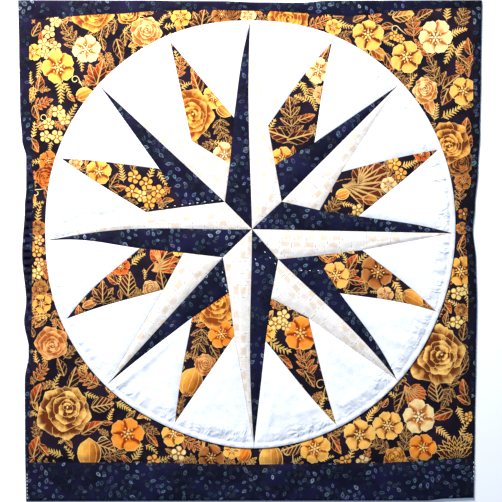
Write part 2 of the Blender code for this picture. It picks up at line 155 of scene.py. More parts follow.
# Printed flowers and leaves of the square and the short points, each at its place in the cloth:
# place across, place up, reach, turn in degrees, colouring. The motifs stand in laying order.
SPOTS = {
    "fern": """
    -281 242 12 -100 straw, -253 212 15 -85 straw, -244 215 11 -60 straw, -237 185 11 60 straw,
    -289 160 11 80 gold, -265 138 8 -100 straw, -281 49 11 80 straw, -284 -142 9 100 gold,
    -257 -175 11 70 straw, -169 -207 12 -30 straw, -185 -219 9 70 gold, -261 -269 13 160 straw,
    -241 -270 11 120 straw, -151 -269 13 60 straw, -114 -276 11 20 straw, 103 -277 9 20 gold,
    137 -268 11 70 gold, 162 -219 12 60 gold, 256 -242 13 -40 gold, 280 -218 12 -70 gold,
    285 -238 11 60 gold, 272 -71 9 150 gold, 289 -67 9 -80 gold, 126 302 12 -20 straw,
    216 225 11 60 straw, 264 318 13 80 straw, 277 291 12 20 gold, 265 264 15 -110 straw,
    280 268 12 60 gold, 247 184 12 80 straw, 267 184 15 30 straw, 284 132 9 90 gold,
    -105 299 11 10 straw, -117 306 9 60 straw, 103 313 11 40 straw, 75 322 9 150 straw,
    -98 255 11 100 straw, -84 219 9 30 straw, -47 142 11 10 gold, 71 215 12 -70 straw,
    82 197 12 -60 straw, 28 165 11 60 straw, -170 102 12 100 straw, -131 106 11 70 straw,
    -117 97 11 -60 straw, 212 116 12 20 gold, 172 105 11 120 straw, 130 61 9 -10 gold,
    -149 -12 12 40 straw, -173 -39 9 90 gold, 149 -10 11 40 straw, 196 -51 13 -60 gold,
    125 -10 9 110 straw, 39 -126 17 -30 straw, 95 -205 11 70 gold, 55 -73 9 60 gold""",
    "tendril": """
    -233 228 8 20 pale, -275 177 8 -60 pale, -285 77 7 90 pale, -196 -254 11 30 pale,
    50 -268 11 0 pale, 193 295 8 40 pale, 94 -178 12 -20 gold""",
    "spray": """
    -239 283 20 118 wine, -193 299 23 -150 wine, -277 196 13 20 russet, -273 -44 12 160 wine,
    -241 -136 12 50 wine, -279 -163 15 60 russet, -212 -171 17 150 russet, -283 -241 12 110 wine,
    -184 -272 16 10 wine, -134 -237 13 -30 wine, -80 -256 16 -30 russet, 115 -246 15 60 wine,
    172 -262 17 150 wine, 206 -252 19 80 wine, 264 -194 16 -120 wine, 271 -169 17 70 wine,
    284 -134 15 -80 wine, 281 77 13 90 wine, 122 286 12 20 wine, 170 313 16 70 russet,
    216 299 19 95 russet, 201 231 13 -40 wine, 281 311 16 70 wine, 249 236 23 120 wine,
    16 306 12 30 wine, 90 303 16 20 russet, -94 242 15 80 russet, -35 162 19 -80 wine,
    -54 141 12 200 wine, 55 171 28 95 wine, -163 67 12 -20 wine, 110 58 17 60 wine,
    -70 -118 21 -100 wine, -92 -206 12 80 wine, 71 -152 23 100 russet""",
    "acanthus": """
    214 -186 17 -20 russet, 143 90 34 30 wine, -121 -16 24 70 russet""",
    "striped": """
    -196 -206 16 10 wine, -192 -262 15 -20 wine, 55 -262 15 200 wine, 248 -186 16 100 wine,
    204 313 15 10 gold, -161 -44 17 85 wine""",
    "leaf": """
    -174 268 15 -75 wine, -285 295 11 60 wine, -281 223 11 80 russet, -284 184 11 -70 russet,
    -287 140 11 -60 russet, -268 74 13 120 wine, -237 -169 16 70 wine, -252 -155 13 110 wine,
    -283 -190 15 70 russet, -210 -236 17 30 russet, -190 -229 8 0 russet, -285 -261 15 75 russet,
    -275 -265 11 -50 russet, -130 -252 12 -50 russet, 114 -258 15 -60 russet,
    200 -202 16 -110 wine, 256 -218 15 200 russet, 285 -155 13 60 wine, 285 -182 12 100 russet,
    284 -199 11 150 russet, 281 11 12 70 russet, 284 -5 11 -60 wine, 285 -108 12 80 wine,
    172 262 15 -35 amber, 186 252 13 -60 russet, 233 314 13 30 wine, 261 209 17 -110 wine,
    268 225 15 40 wine, 239 192 13 -70 peach, 295 252 12 60 russet, 292 272 12 100 russet,
    285 252 12 -40 brown, 287 165 13 80 russet, 289 144 12 60 russet, -46 300 13 10 russet,
    -72 224 16 110 russet, 99 262 13 60 russet, 40 154 19 160 wine, 67 152 19 15 wine,
    76 177 12 20 russet, -176 85 12 0 russet, -181 94 11 60 wine, 161 67 12 -10 amber,
    -110 0 16 60 russet, -117 -40 16 100 wine, -212 -71 12 20 peach, 137 -16 13 60 russet,
    142 -40 12 -10 russet, 145 -56 12 0 wine, -47 -136 12 -60 wine, 47 -148 13 -40 russet,
    79 -171 13 -60 wine""",
    "maple": """
    -200 236 20 75 russet, -63 309 17 80 wine, -196 -56 17 90 wine""",
    "carnation": """
    273 -262 20 95 gold""",
    "bud": """
    -221 208 11 25 amber, -214 -270 19 90 amber, -8 -272 11 60 orange, 28 -278 19 90 honey,
    -35 187 11 -40 amber, 123 75 9 20 amber, 216 -64 15 -30 amber, -79 -175 19 70 amber""",
    "blossom": """
    -218 268 19 10 cream, -255 244 23 40 amber, -288 264 11 10 amber, -269 120 13 0 ember,
    -283 30 11 30 brown, -280 -51 11 10 brown, -277 -71 13 40 gold, -163 -244 23 5 orange,
    -102 -244 17 30 amber, -52 -276 19 0 brown, -24 -266 12 30 amber, 86 -264 21 20 amber,
    146 -246 21 15 honey, 184 -233 20 50 honey, 225 -221 23 30 cream, 230 -262 19 0 orange,
    284 93 12 0 brown, 283 30 9 20 brown, 281 -28 20 10 gold, 281 -79 9 0 brown,
    111 298 11 20 amber, 157 287 21 15 honey, 208 258 21 0 honey, 247 284 23 0 cream,
    284 213 19 45 honey, -92 311 13 10 gold, -38 315 13 0 brown, -3 313 11 0 cream,
    -48 205 16 20 amber, -34 128 16 20 cream, 91 240 18 20 cream, 96 208 13 10 peach,
    43 122 16 0 amber, -232 117 9 0 peach, -201 105 17 10 amber, 184 87 11 10 cream,
    228 129 11 0 russet, -172 -21 13 10 russet, -94 3 11 0 amber, 114 -33 19 10 honey,
    170 -28 23 20 brown, 180 -59 12 0 peach, -38 -111 19 10 orange, 67 -110 23 15 orange,
    21 -110 12 0 amber""",
    "rose": """
    -210 319 27 10 amber, -161 317 17 200 honey, -138 290 21 70 cream, -272 99 15 -90 ember,
    -264 -123 23 -100 peach, -247 -215 36 25 glow, 193 -276 15 80 amber, 247 -138 39 10 glow,
    277 118 20 -60 brown, 234 213 17 110 cream, 265 145 28 -70 honey, -23 319 13 -90 brown,
    51 314 27 -90 amber, -83 180 34 -20 amber, -131 -51 12 90 cream, -46 -73 28 80 amber,
    -59 -152 15 90 peach""",
    "daisy": """
    -259 305 8 10 pale, -268 291 9 40 pale, -275 275 8 0 pale, -259 271 8 25 pale,
    -272 262 7 60 pale, -255 185 9 0 pale, -247 175 8 30 pale, -268 169 8 15 pale,
    -257 152 9 50 pale, -272 152 8 5 pale, -281 14 7 0 peach, -284 -1 8 20 gold,
    -281 -16 7 50 peach, -283 -30 8 0 pale, -129 -280 9 0 gold, -95 -270 10 15 cream,
    127 -280 8 0 gold, 150 -281 9 30 cream, 292 -221 7 0 amber, 285 49 8 0 brown, 276 -57 9 0 pale,
    288 -52 8 30 pale, 275 -95 9 0 pale, 192 286 7 0 gold, 200 282 6 0 gold, -154 98 9 0 gold,
    -138 89 9 30 gold, -157 79 9 15 gold, -123 79 9 0 gold, -145 73 8 40 pale, -134 65 9 20 amber,
    192 116 9 0 gold, 201 102 8 20 gold, 143 54 8 0 pale, 44 -87 9 0 pale, 34 -97 9 30 pale,
    48 -100 7 10 pale""",
}


# Height of a honeycomb's row, as a share of its pitch
ROW_RISE = 0.866


def linear(red: int, green: int, blue: int) -> Colour:
    """A colour seen as red, green and blue from 0 to 255, as the shader's linear values."""
    return tuple(((part / 255 + 0.055) / 1.055) ** 2.4 if part > 10 else part / 255 / 12.92
                 for part in (red, green, blue))


def smooth(share: Array) -> Array:
    """Rise from 0 to 1 as share goes from 0 to 1, level at both ends."""
    share = np.clip(share, 0.0, 1.0)
    return share * share * (3.0 - 2.0 * share)


def eased(table: Sequence[Row], places: Array) -> Array:
    """Values at places along a table of (place, value), easing from each row to the next.

    Args:
        table: rows in rising order of place.
        places: where to read the table.

    Returns:
        One value for each place.
    """
    rows = np.array(table, dtype=float)
    index = np.clip(np.searchsorted(rows[:, 0], places, side="left") - 1, 0, len(rows) - 2)
    share = (places - rows[index, 0]) / (rows[index + 1, 0] - rows[index, 0])
    return rows[index, 1] + (rows[index + 1, 1] - rows[index, 1]) * smooth(share)


def softened(share: Array, power: float = 2.3) -> Array:
    """Rise from 0 to 1 as share goes from 0 to 1, steep at first and level at its end."""
    return 1.0 - (1.0 - np.clip(share, 0.0, 1.0)) ** power


def turned_by(points: Array, angle: float) -> Array:
    """Points in the plane turned anticlockwise round its origin."""
    cosine, sine = math.cos(angle), math.sin(angle)
    return points @ np.array(((cosine, sine), (-sine, cosine)))


def round_points(angles: Array, reach: float | Array = 1.0) -> Array:
    """Points in the plane at angles round its origin, each at its reach."""
    return np.stack((np.cos(angles), np.sin(angles)), axis=1) * np.reshape(reach, (-1, 1))


def unit(ways: Array) -> Array:
    """Directions in the plane, a row each, all 1 long."""
    return ways / np.maximum(np.hypot(ways[:, 0], ways[:, 1]), 1e-9)[:, None]


def left_of(ways: Array) -> Array:
    """Directions in the plane, a row each, turned a quarter to the left."""
    return np.stack((-ways[:, 1], ways[:, 0]), axis=1)


def honeycomb(ring: Array, pitch: float) -> Array:
    """Evenly spaced points over a ring's box, every other row half a pitch further on.

    Args:
        ring: outline whose box is filled.
        pitch: distance between points.

    Returns:
        The points, a row each.
    """
    low, high = ring.min(axis=0), ring.max(axis=0)
    grid = np.stack(np.meshgrid(np.arange(low[0], high[0], pitch),
                                np.arange(low[1], high[1], pitch * ROW_RISE)), axis=-1)
    grid[1::2, :, 0] += pitch / 2.0
    return grid.reshape(-1, 2)


def stretch_gap(places: Array, start: Array, end: Array) -> tuple[Array, Array]:
    """How far along a stretch each place lies, as a share, and its distance from it squared.

    Args:
        places: points in the plane, a row each.
        start: start of the stretch.
        end: its end.

    Returns:
        The shares, and the squares of the distances.
    """
    along = end - start
    share = np.clip(((places - start) @ along) / float(along @ along), 0.0, 1.0)
    gap = places - start - share[:, None] * along
    return share, gap[:, 0] ** 2 + gap[:, 1] ** 2


def distance_to(places: Array, line: Array, closed: bool = False) -> Array:
    """Distance from each place to the nearest stretch of a line.

    Args:
        places: points in the plane, a row each.
        line: the line's points in order.
        closed: whether the last point joins the first.

    Returns:
        One distance for each place.
    """
    starts = line if closed else line[:-1]
    ends = np.roll(line, -1, axis=0) if closed else line[1:]
    nearest = np.full(len(places), np.inf)
    for start, end in zip(starts, ends):
        if np.hypot(*(end - start)) > 1e-6:
            np.minimum(nearest, stretch_gap(places, start, end)[1], out=nearest)
    return np.sqrt(nearest)


def inside(places: Array, ring: Array) -> Array:
    """Which places lie inside a ring.

    Args:
        places: points in the plane, a row each.
        ring: corners of the ring.

    Returns:
        True for each place inside.
    """
    found = np.zeros(len(places), dtype=bool)
    for start, end in zip(ring, np.roll(ring, -1, axis=0)):
        if start[1] == end[1]:
            continue
        across = (start[1] > places[:, 1]) != (end[1] > places[:, 1])
        limit = start[0] + (end[0] - start[0]) * (places[:, 1] - start[1]) / (end[1] - start[1])
        found ^= across & (places[:, 0] < limit)
    return found


def ring_area(ring: Array) -> float:
    """Area inside a ring, above 0 if it runs anticlockwise."""
    after = np.roll(ring, -1, axis=0)
    return 0.5 * float(np.sum(ring[:, 0] * after[:, 1] - after[:, 0] * ring[:, 1]))


class Ripple:
    """Smooth seeded unevenness of about 1 in height, made of level waves."""

    def __init__(self, seed: int, shortest: float, longest: float, waves: int = 26) -> None:
        """Draw the waves, with lengths between the shortest and the longest.

        Args:
            seed: seed of the draws.
            shortest: least length.
            longest: greatest length.
            waves: how many waves.
        """
        draw = np.random.default_rng(seed)
        lengths = np.exp(draw.uniform(math.log(shortest), math.log(longest), waves))
        turns = draw.uniform(0.0, 2.0 * math.pi, waves)
        self.pull = 2.0 * math.pi / lengths * np.stack((np.cos(turns), np.sin(turns)))
        self.phase = draw.uniform(0.0, 2.0 * math.pi, waves)

    def at(self, places: Array) -> Array:
        """Height of the unevenness at each place."""
        return np.sin(places @ self.pull + self.phase).sum(axis=1) * math.sqrt(
            2.0 / len(self.phase))


@dataclass
class RimLine:
    """The round panel's rim as a smooth closed line through its measured radii."""

    samples: int = 1024
    around: float = 278.0
    middle: Array = field(default_factory=lambda: np.array(PANEL_MIDDLE))
    radii: Array = field(init=False)

    def __post_init__(self) -> None:
        """Ease the radii from bearing to bearing with a smooth slope."""
        known = np.array(RIM_RADIUS)
        turn = np.arange(self.samples) / self.samples * len(known)
        index = turn.astype(int)
        share = turn - index
        before, low, high, after = (known[(index + step) % len(known)] for step in (-1, 0, 1, 2))
        self.radii = low + (high - low) * smooth(share)
        self.radii += (high - before) / 2.0 * share * (1.0 - share) ** 2
        self.radii -= (after - low) / 2.0 * share * share * (1.0 - share)

    def radius(self, angles: Array) -> Array:
        """Radius of the rim at each angle."""
        turns = np.mod(angles, 2.0 * math.pi) / (2.0 * math.pi) * self.samples
        return np.interp(turns, np.arange(self.samples + 1), np.append(self.radii, self.radii[0]))

    def angle(self, places: Array) -> Array:
        """Angle of each place round the panel's middle."""
        offset = np.atleast_2d(places) - self.middle
        return np.arctan2(offset[:, 1], offset[:, 0])

    def inward(self, places: Array) -> Array:
        """How far inside the rim each place lies, below 0 outside it."""
        offset = places - self.middle
        return self.radius(self.angle(places)) - np.hypot(offset[:, 0], offset[:, 1])

    def arc(self, start: float, end: float, outset: float, step: float) -> Array:
        """Points on the rim anticlockwise from a start angle to an end angle.

        Args:
            start: first angle in radians.
            end: last angle, above start.
            outset: how far outside the rim the points lie.
            step: distance between points.

        Returns:
            The points, a row each.
        """
        count = max(2, round((end - start) * float(np.mean(self.radii)) / step))
        angles = start + (end - start) * np.arange(count + 1) / count
        return self.middle + round_points(angles, self.radius(angles) + outset)


@dataclass
class Relief:
    """The quilt's uneven face: heights in millimetres above the table."""

    rim: RimLine
    seam: float = 3.0
    crest: float = 5.4
    fold: float = 1.4
    panel_seam: float = 4.9
    panel_crest: float = 7.3
    hem_edge: float = 5.3
    hem_crest: float = 6.2
    hem_foot: float = 5.5
    puff_reach: float = 17.0
    hem_reach: float = 3.4
    hem_width: float = 7.5
    fold_reach: float = 4.5
    seam_ditch: float = 0.45
    gather_height: float = 0.8
    gathered_towards: float = math.radians(80.0)
    swell: Ripple = field(default_factory=lambda: Ripple(11, 70.0, 170.0))
    rumple: Ripple = field(default_factory=lambda: Ripple(12, 11.0, 34.0))
    pucker: Ripple = field(default_factory=lambda: Ripple(13, 9.0, 22.0, 40))

    def creased(self, places: Array) -> Array:
        """Height that the listed creases, the swell and the rumples add.

        Args:
            places: points in the plane, a row each.

        Returns:
            A height for each place.
        """
        added = 0.3 * self.swell.at(places) + 0.1 * self.rumple.at(places)
        for start, end, height, width in CREASES:
            share, gap = stretch_gap(places, *np.array((start, end), dtype=float))
            spread = width * (0.55 + 0.9 * np.sin(math.pi * np.clip(share, 0.02, 0.98)))
            fall = np.exp(-gap / spread ** 2)
            added += height * fall * (0.35 + 0.65 * np.sin(math.pi * share))
        return added

    def panel(self, places: Array, seams: Array) -> Array:
        """Height of a patch of the round panel.

        Args:
            places: points in the plane.
            seams: distance of each place from the patch's own seams.

        Returns:
            One height for each place.
        """
        puff = self.panel_seam + (self.panel_crest - self.panel_seam) * softened(
            seams / self.puff_reach)
        inward = np.maximum(self.rim.inward(places), 0.0)
        ridge = self.hem_edge + (self.hem_crest - self.hem_edge) * softened(
            inward / self.hem_reach)
        sink = smooth((inward - self.hem_reach) / (self.hem_width - self.hem_reach))
        ridge -= (self.hem_crest - self.hem_foot) * sink
        settle = softened((inward - self.hem_width) / self.puff_reach, 2.2)
        body = self.hem_foot + (self.panel_crest - self.hem_foot) * settle
        height = np.where(inward < self.hem_width, ridge, np.minimum(puff, body))
        angles = self.rim.angle(places)
        round_rim = np.stack((angles * self.rim.around, 0.22 * inward), axis=1)
        pull = np.exp(-((inward - 11.0) / 14.0) ** 2) * np.clip(inward / 4.0, 0.0, 1.0)
        pull *= 0.55 + 0.45 * np.cos(angles + self.gathered_towards)
        gather = self.gather_height * self.pucker.at(round_rim) * pull * 0.6
        calm = np.clip(seams / 5.0, 0.0, 1.0)
        added = (self.creased(places) + gather) * (0.25 + 0.75 * calm)
        added *= np.clip(inward / 3.0, 0.15, 1.0)
        return height + added - self.seam_ditch * np.exp(-((seams / 0.8) ** 2))

    def square(self, places: Array, seams: Array) -> Array:
        """Height of the flowered square, level under the round panel.

        Args:
            places: points in the plane, a row each.
            seams: distance of each from the strips' seams.

        Returns:
            A height for each place.
        """
        outside = -self.rim.inward(places)
        near = np.minimum(seams, np.maximum(outside - 0.6, 0.0))
        height = self.seam + (self.crest - self.seam) * softened(near / self.puff_reach)
        calm = np.clip(near / 6.0, 0.0, 1.0)
        return height + self.creased(places) * calm + 0.14 * self.pucker.at(places) * calm

    def strip(self, places: Array, seams: Array, folds: Array, uneven: Array) -> Array:
        """Height of a side strip between its seam and its folded edge.

        Args:
            places: points in the plane, a row each.
            seams: distance of each from its seam.
            folds: and from its fold.
            uneven: height of the edge's ripple at each.

        Returns:
            A height for each place.
        """
        crest = self.seam + (self.crest - self.seam) * softened(seams / self.puff_reach)
        calm = np.clip(seams / 4.0, 0.0, 1.0) * np.clip(folds / 4.0, 0.0, 1.0)
        crest = crest + (0.7 * self.creased(places) + uneven) * calm
        return self.fold + (crest - self.fold) * softened(folds / self.fold_reach)


@dataclass(frozen=True)
class Seat:
    """A place, turn and size that a motif is laid down at."""

    x: float
    y: float
    turn: float
    size: float

    def world(self, points: Array) -> Array:
        """Points of the motif as places on the cloth."""
        return turned_by(points, self.turn) * self.size + (self.x, self.y)

    def local(self, places: Array) -> Array:
        """Places on the cloth as points of the motif."""
        return turned_by((places - (self.x, self.y)) / self.size, -self.turn)

    def at(self, x: float, y: float, turn: float, size: float) -> "Seat":
        """A seat within this one, its place and size in this one's measure."""
        place = self.world(np.array(((x, y),)))[0]
        return Seat(float(place[0]), float(place[1]), self.turn + turn, self.size * size)


class Paint(Enum):
    """What the print lays inside an outline, where 0 is bare cloth."""

    GILT = 1
    PETAL = 2
    LEAF = 3
    STRIPED = 4
    BUD = 5


@dataclass
class PrintedShape:
    """One printed area: its outline, its paint and colours, and the seat they are laid in.

    A petal is in shade out to its hollow, as a share of its length.
    """

    ring: Array
    paint: Paint
    light: Colour
    deep: Colour
    seat: Seat
    hollow: float = 0.25


@dataclass
class FlatCut:
    """A cloth cut flat: its triangles, and the printed shape that shows on each."""

    places: Array
    triangles: Array
    shown: Array
    loops: list[Array]


# Printed shapes smaller than this, in square millimetres, are left out of a cut
LEAST_AREA = 0.02


def boundary_loops(triangles: Array) -> list[Array]:
    """The closed edges of a cut, the longest first, with the cloth on their left.

    Args:
        triangles: three points' numbers in each row.

    Returns:
        Each edge as the numbers of its points.
    """
    edges = np.concatenate((triangles[:, (0, 1)], triangles[:, (1, 2)], triangles[:, (2, 0)]))
    width = int(triangles.max()) + 1
    keys = edges[:, 0].astype(np.int64) * width + edges[:, 1]
    back = edges[:, 1].astype(np.int64) * width + edges[:, 0]
    free = edges[~np.isin(keys, back)]
    after = dict(free.tolist())
    loops = []
    while after:
        start = next(iter(after))
        loop = [start]
        step = after.pop(start)
        while step != start and step in after:
            loop.append(step)
            step = after.pop(step)
        loops.append(np.array(loop))
    return sorted(loops, key=len, reverse=True)


def cut_cloth(ring: Array, shapes: Sequence[PrintedShape], pitch: float,
              loose: Array | None = None) -> FlatCut:
    """Cut a cloth flat, with the outlines of its print as edges.

    Args:
        ring: the cloth's outline, anticlockwise.
        shapes: the printed shapes from the lowest to the topmost.
        pitch: distance between the loose points that carry the relief.
        loose: the loose points, where they aren't an even honeycomb.

    Returns:
        The flat cut.
    """
    low, high = ring.min(axis=0), ring.max(axis=0)
    if loose is None:
        loose = honeycomb(ring, pitch)
    loose = loose[inside(loose, ring)]
    loose = loose[distance_to(loose, ring, closed=True) > 0.55 * pitch]
    near = [shape for shape in shapes
            if (shape.ring.max(axis=0) > low).all() and (shape.ring.min(axis=0) < high).all()
            and ring_area(shape.ring) > LEAST_AREA]
    rings = [ring] + [shape.ring for shape in near]
    starts = np.cumsum([0] + [len(each) for each in rings])
    faces = [list(range(start, end)) for start, end in zip(starts, starts[1:])]
    coords = [Vector(point) for point in np.concatenate(rings + [loose]).tolist()]
    made, _, parts, _, _, sources = delaunay_2d_cdt(coords, [], faces, 1, 1e-4, True)
    places = np.array([point[:] for point in made])
    kept = [(part, max(source)) for part, source in zip(parts, sources)
            if 0 in source and len(part) == 3]
    triangles = np.array([part for part, _ in kept])
    shown = np.array([top - 1 for _, top in kept])
    first, second, third = (places[triangles[:, corner]] for corner in range(3))
    ways = ((second[:, 0] - first[:, 0]) * (third[:, 1] - first[:, 1])
            - (second[:, 1] - first[:, 1]) * (third[:, 0] - first[:, 0]))
    triangles[ways < 0.0] = triangles[ways < 0.0][:, ::-1]
    used, triangles = np.unique(triangles, return_inverse=True)
    triangles = triangles.reshape(-1, 3)
    order = {id(shape): place for place, shape in enumerate(shapes)}
    ids = np.array([order[id(shape)] for shape in near] + [-1])
    return FlatCut(places[used], triangles, ids[shown], boundary_loops(triangles))


def in_scene(name: str, data: bpy.types.ID) -> Piece:
    """A mesh, lamp or camera as an object in the scene."""
    made = bpy.data.objects.new(name, data)
    bpy.context.scene.collection.objects.link(made)
    return made


@dataclass
class Cloth:
    """A flat cut raised to its shape and closed below, with its paint on every corner."""

    name: str
    cut: FlatCut
    shapes: Sequence[PrintedShape]
    grain: float
    ground: tuple[Colour, Colour]
    surface: Surface
    floor: float
    tuck: float = 0.35
    probe: float = 0.25
    way: Surface | None = None

    def normals(self) -> Array:
        """Direction that the raised cloth faces at each of its points."""
        wide, tall = (self.surface(self.cut.places + step) - self.surface(self.cut.places - step)
                      for step in np.diag((self.probe, self.probe)))
        facing = np.cross(wide, tall)
        return facing / np.maximum(np.linalg.norm(facing, axis=1), 1e-9)[:, None]

    def lower_ring(self, loop: Array, raised: Array) -> Array:
        """The points under an edge, tucked in and down on the cloth's floor.

        Args:
            loop: numbers of the edge's points.
            raised: the raised points.

        Returns:
            The lower points, a row each.
        """
        edge = self.cut.places[loop]
        along = np.roll(edge, -1, axis=0) - np.roll(edge, 1, axis=0)
        lower = raised[loop].copy()
        lower[:, :2] += unit(left_of(along)) * self.tuck
        lower[:, 2] = self.floor
        return lower

    def corner_paint(self, total: int) -> tuple[Array, Array, Array]:
        """Place in the motif with its paint, and two colours, for each corner of the mesh.

        Args:
            total: how many corners the mesh has.

        Returns:
            Three arrays with a row for each corner.
        """
        corners = self.cut.places[self.cut.triangles]
        layers = (np.zeros((total, 3)),
                  *(np.tile(np.array((*colour, 1.0)), (total, 1)) for colour in self.ground))
        place, light, deep = (layer[:3 * len(corners)].reshape(len(corners), 3, -1)
                              for layer in layers)
        if self.way:
            place[:, :, :2] = self.way(corners.reshape(-1, 2)).reshape(-1, 3, 2) * MM
        for index in np.unique(self.cut.shown[self.cut.shown >= 0]):
            shape = self.shapes[index]
            rows = np.flatnonzero(self.cut.shown == index)
            place[rows, :, :2] = shape.seat.local(corners[rows].reshape(-1, 2)).reshape(-1, 3, 2)
            place[rows, :, 2] = shape.paint.value + shape.hollow
            light[rows, :, :3] = shape.light
            deep[rows, :, :3] = shape.deep
        return layers

    def build(self, material: Material) -> Piece:
        """Make the mesh and its object, in metres.

        Args:
            material: the finish it wears.

        Returns:
            The cloth in the scene.
        """
        raised = self.surface(self.cut.places)
        facing = self.normals()
        points = [raised]
        walls, bases = [], []
        first = len(raised)
        for loop in self.cut.loops:
            under = np.arange(first, first + len(loop))
            walls.append(np.stack((under, np.roll(under, -1), np.roll(loop, -1), loop), axis=1))
            bases.append(under[::-1])
            points.append(self.lower_ring(loop, raised))
            first += len(loop)
        vertices = np.concatenate(points) * MM
        flat = self.cut.triangles.reshape(-1)
        corners = np.concatenate([flat] + [wall.reshape(-1) for wall in walls] + bases)
        sizes = np.concatenate((np.full(len(self.cut.triangles), 3),
                                np.full(first - len(raised), 4), [len(base) for base in bases]))
        mesh = bpy.data.meshes.new(self.name)
        mesh.vertices.add(len(vertices))
        mesh.vertices.foreach_set("co", vertices.reshape(-1))
        mesh.loops.add(len(corners))
        mesh.loops.foreach_set("vertex_index", corners.astype(np.int32))
        mesh.polygons.add(len(sizes))
        starts = np.concatenate(([0], np.cumsum(sizes)[:-1])).astype(np.int32)
        mesh.polygons.foreach_set("loop_start", starts)
        mesh.update(calc_edges=True)
        mesh.shade_smooth()
        for (label, kind), values in zip((("place", "vector"), ("light", "color"),
                                          ("deep", "color")), self.corner_paint(len(corners))):
            layer = mesh.attributes.new(label, "FLOAT_" + kind.upper(), "CORNER")
            layer.data.foreach_set(kind, values.reshape(-1))
        woven = np.concatenate(points)[corners][:, :2]
        woven[:len(flat)] = self.cut.places[flat]
        grain = mesh.uv_layers.new(name="grain")
        grain.data.foreach_set("uv", (turned_by(woven, -self.grain) * MM).reshape(-1))
        ways = np.zeros((len(corners), 3))
        ways[:len(flat)] = facing[flat]
        mesh.normals_split_custom_set([tuple(way) for way in ways.tolist()])
        mesh.materials.append(material)
        return in_scene(self.name, mesh)


@dataclass(frozen=True)
class Colouring:
    """Colours of a printed flower or leaf: its light parts, its shaded parts and its outline."""

    light: Colour
    deep: Colour
    rim: Colour


COLOURINGS = {name: Colouring(*(linear(*seen) for seen in colours)) for name, *colours in (
    ("cream", (252, 220, 150), (176, 96, 36), (252, 232, 180)),
    ("amber", (252, 182, 78), (140, 60, 14), (252, 216, 132)),
    ("gold", (255, 176, 76), (68, 28, 12), (255, 206, 118)),
    ("orange", (250, 148, 44), (150, 48, 10), (252, 198, 104)),
    ("peach", (244, 184, 112), (168, 82, 34), (250, 220, 160)),
    ("brown", (176, 104, 48), (46, 22, 15), (216, 160, 86)),
    ("russet", (214, 88, 30), (58, 19, 14), (222, 160, 86)),
    ("wine", (108, 40, 25), (34, 12, 14), (200, 146, 80)),
    ("glow", (255, 204, 112), (104, 42, 14), (255, 228, 150)),
    ("honey", (255, 190, 90), (106, 46, 18), (255, 214, 130)),
    ("ember", (232, 124, 42), (110, 38, 14), (240, 180, 96)),
    ("pale", (244, 214, 130), (196, 140, 60), (250, 228, 156)),
    ("straw", (206, 158, 74), (150, 98, 38), (230, 188, 100)),
)}
FLOWER_HEART = linear(150, 66, 20)
DARK_CENTRE = linear(84, 36, 16)
DAISY_LINE = linear(150, 92, 44)
POLLEN = linear(252, 232, 150)


def petal_outline(spread: float, lobes: float, wave: float, inset: float = 0.0,
                  base: float = 0.1, steps: int = 11) -> Array:
    """A petal that opens along +x from the flower's middle, 1 long.

    Args:
        spread: half its opening, in radians.
        lobes: waves along its outer edge.
        wave: height of those waves.
        inset: how far inside the petal's edge the outline runs.
        base: how far from the middle it starts.
        steps: points along its outer edge.

    Returns:
        Its outline, anticlockwise.
    """
    share = np.linspace(-1.0, 1.0, steps)
    reach = (1.0 - 0.24 * np.abs(share) ** 3) * (1.0 + wave * np.cos(lobes * math.pi * share))
    reach = reach - inset
    angles = share * (spread - 0.9 * inset)
    edge = round_points(angles, reach)
    foot = min(base + 1.6 * inset, 0.5 * float(edge[:, 0].min()))
    return np.concatenate((edge, ((foot, 0.0),)))


def blade_outline(width: float, inset: float = 0.0, bend: float = 0.0, teeth: float = 0.0,
                  steps: int = 9) -> Array:
    """A leaf blade along +x, 1 long.

    Args:
        width: half its greatest width.
        inset: how far inside its edge the outline runs.
        bend: how far its middle swings to the left.
        teeth: depth of the notches in its edge.
        steps: points along each side.

    Returns:
        Its outline, anticlockwise.
    """
    places = np.linspace(0.0, 1.0, steps + 2)[1:-1]
    half = width * np.sin(math.pi * places ** 0.8) ** 0.85
    half *= 1.0 - teeth * (np.arange(steps) % 2)
    half = np.maximum(half - inset, 0.012)
    start, end = 1.2 * inset, 1.0 - 2.0 * inset
    along = start + (end - start) * places
    swing = bend * np.sin(math.pi * along)
    right = np.stack((along, swing - half), axis=1)
    left = np.stack((along, swing + half), axis=1)[::-1]
    return np.concatenate((((start, 0.0),), right, ((end, 0.0),), left))


def disc_outline(x: float, y: float, radius: float, steps: int = 8) -> Array:
    """A small round dot."""
    return round_points(np.arange(steps) / steps * 2.0 * math.pi, radius) + (x, y)


def strand_outline(path: Array, width: float) -> Array:
    """A strand of even width along a path, narrowing at its ends."""
    across = left_of(unit(np.gradient(path, axis=0)))
    half = width / 2.0 * np.clip(np.sin(np.linspace(0.12, math.pi - 0.12, len(path))) * 2.2,
                                 0.3, 1.0)[:, None]
    return np.concatenate((path - across * half, (path + across * half)[::-1]))


# Hollow of a leaf that shows its ribs, and of one that doesn't
RIBBED, PLAIN = 0.9, 0.1


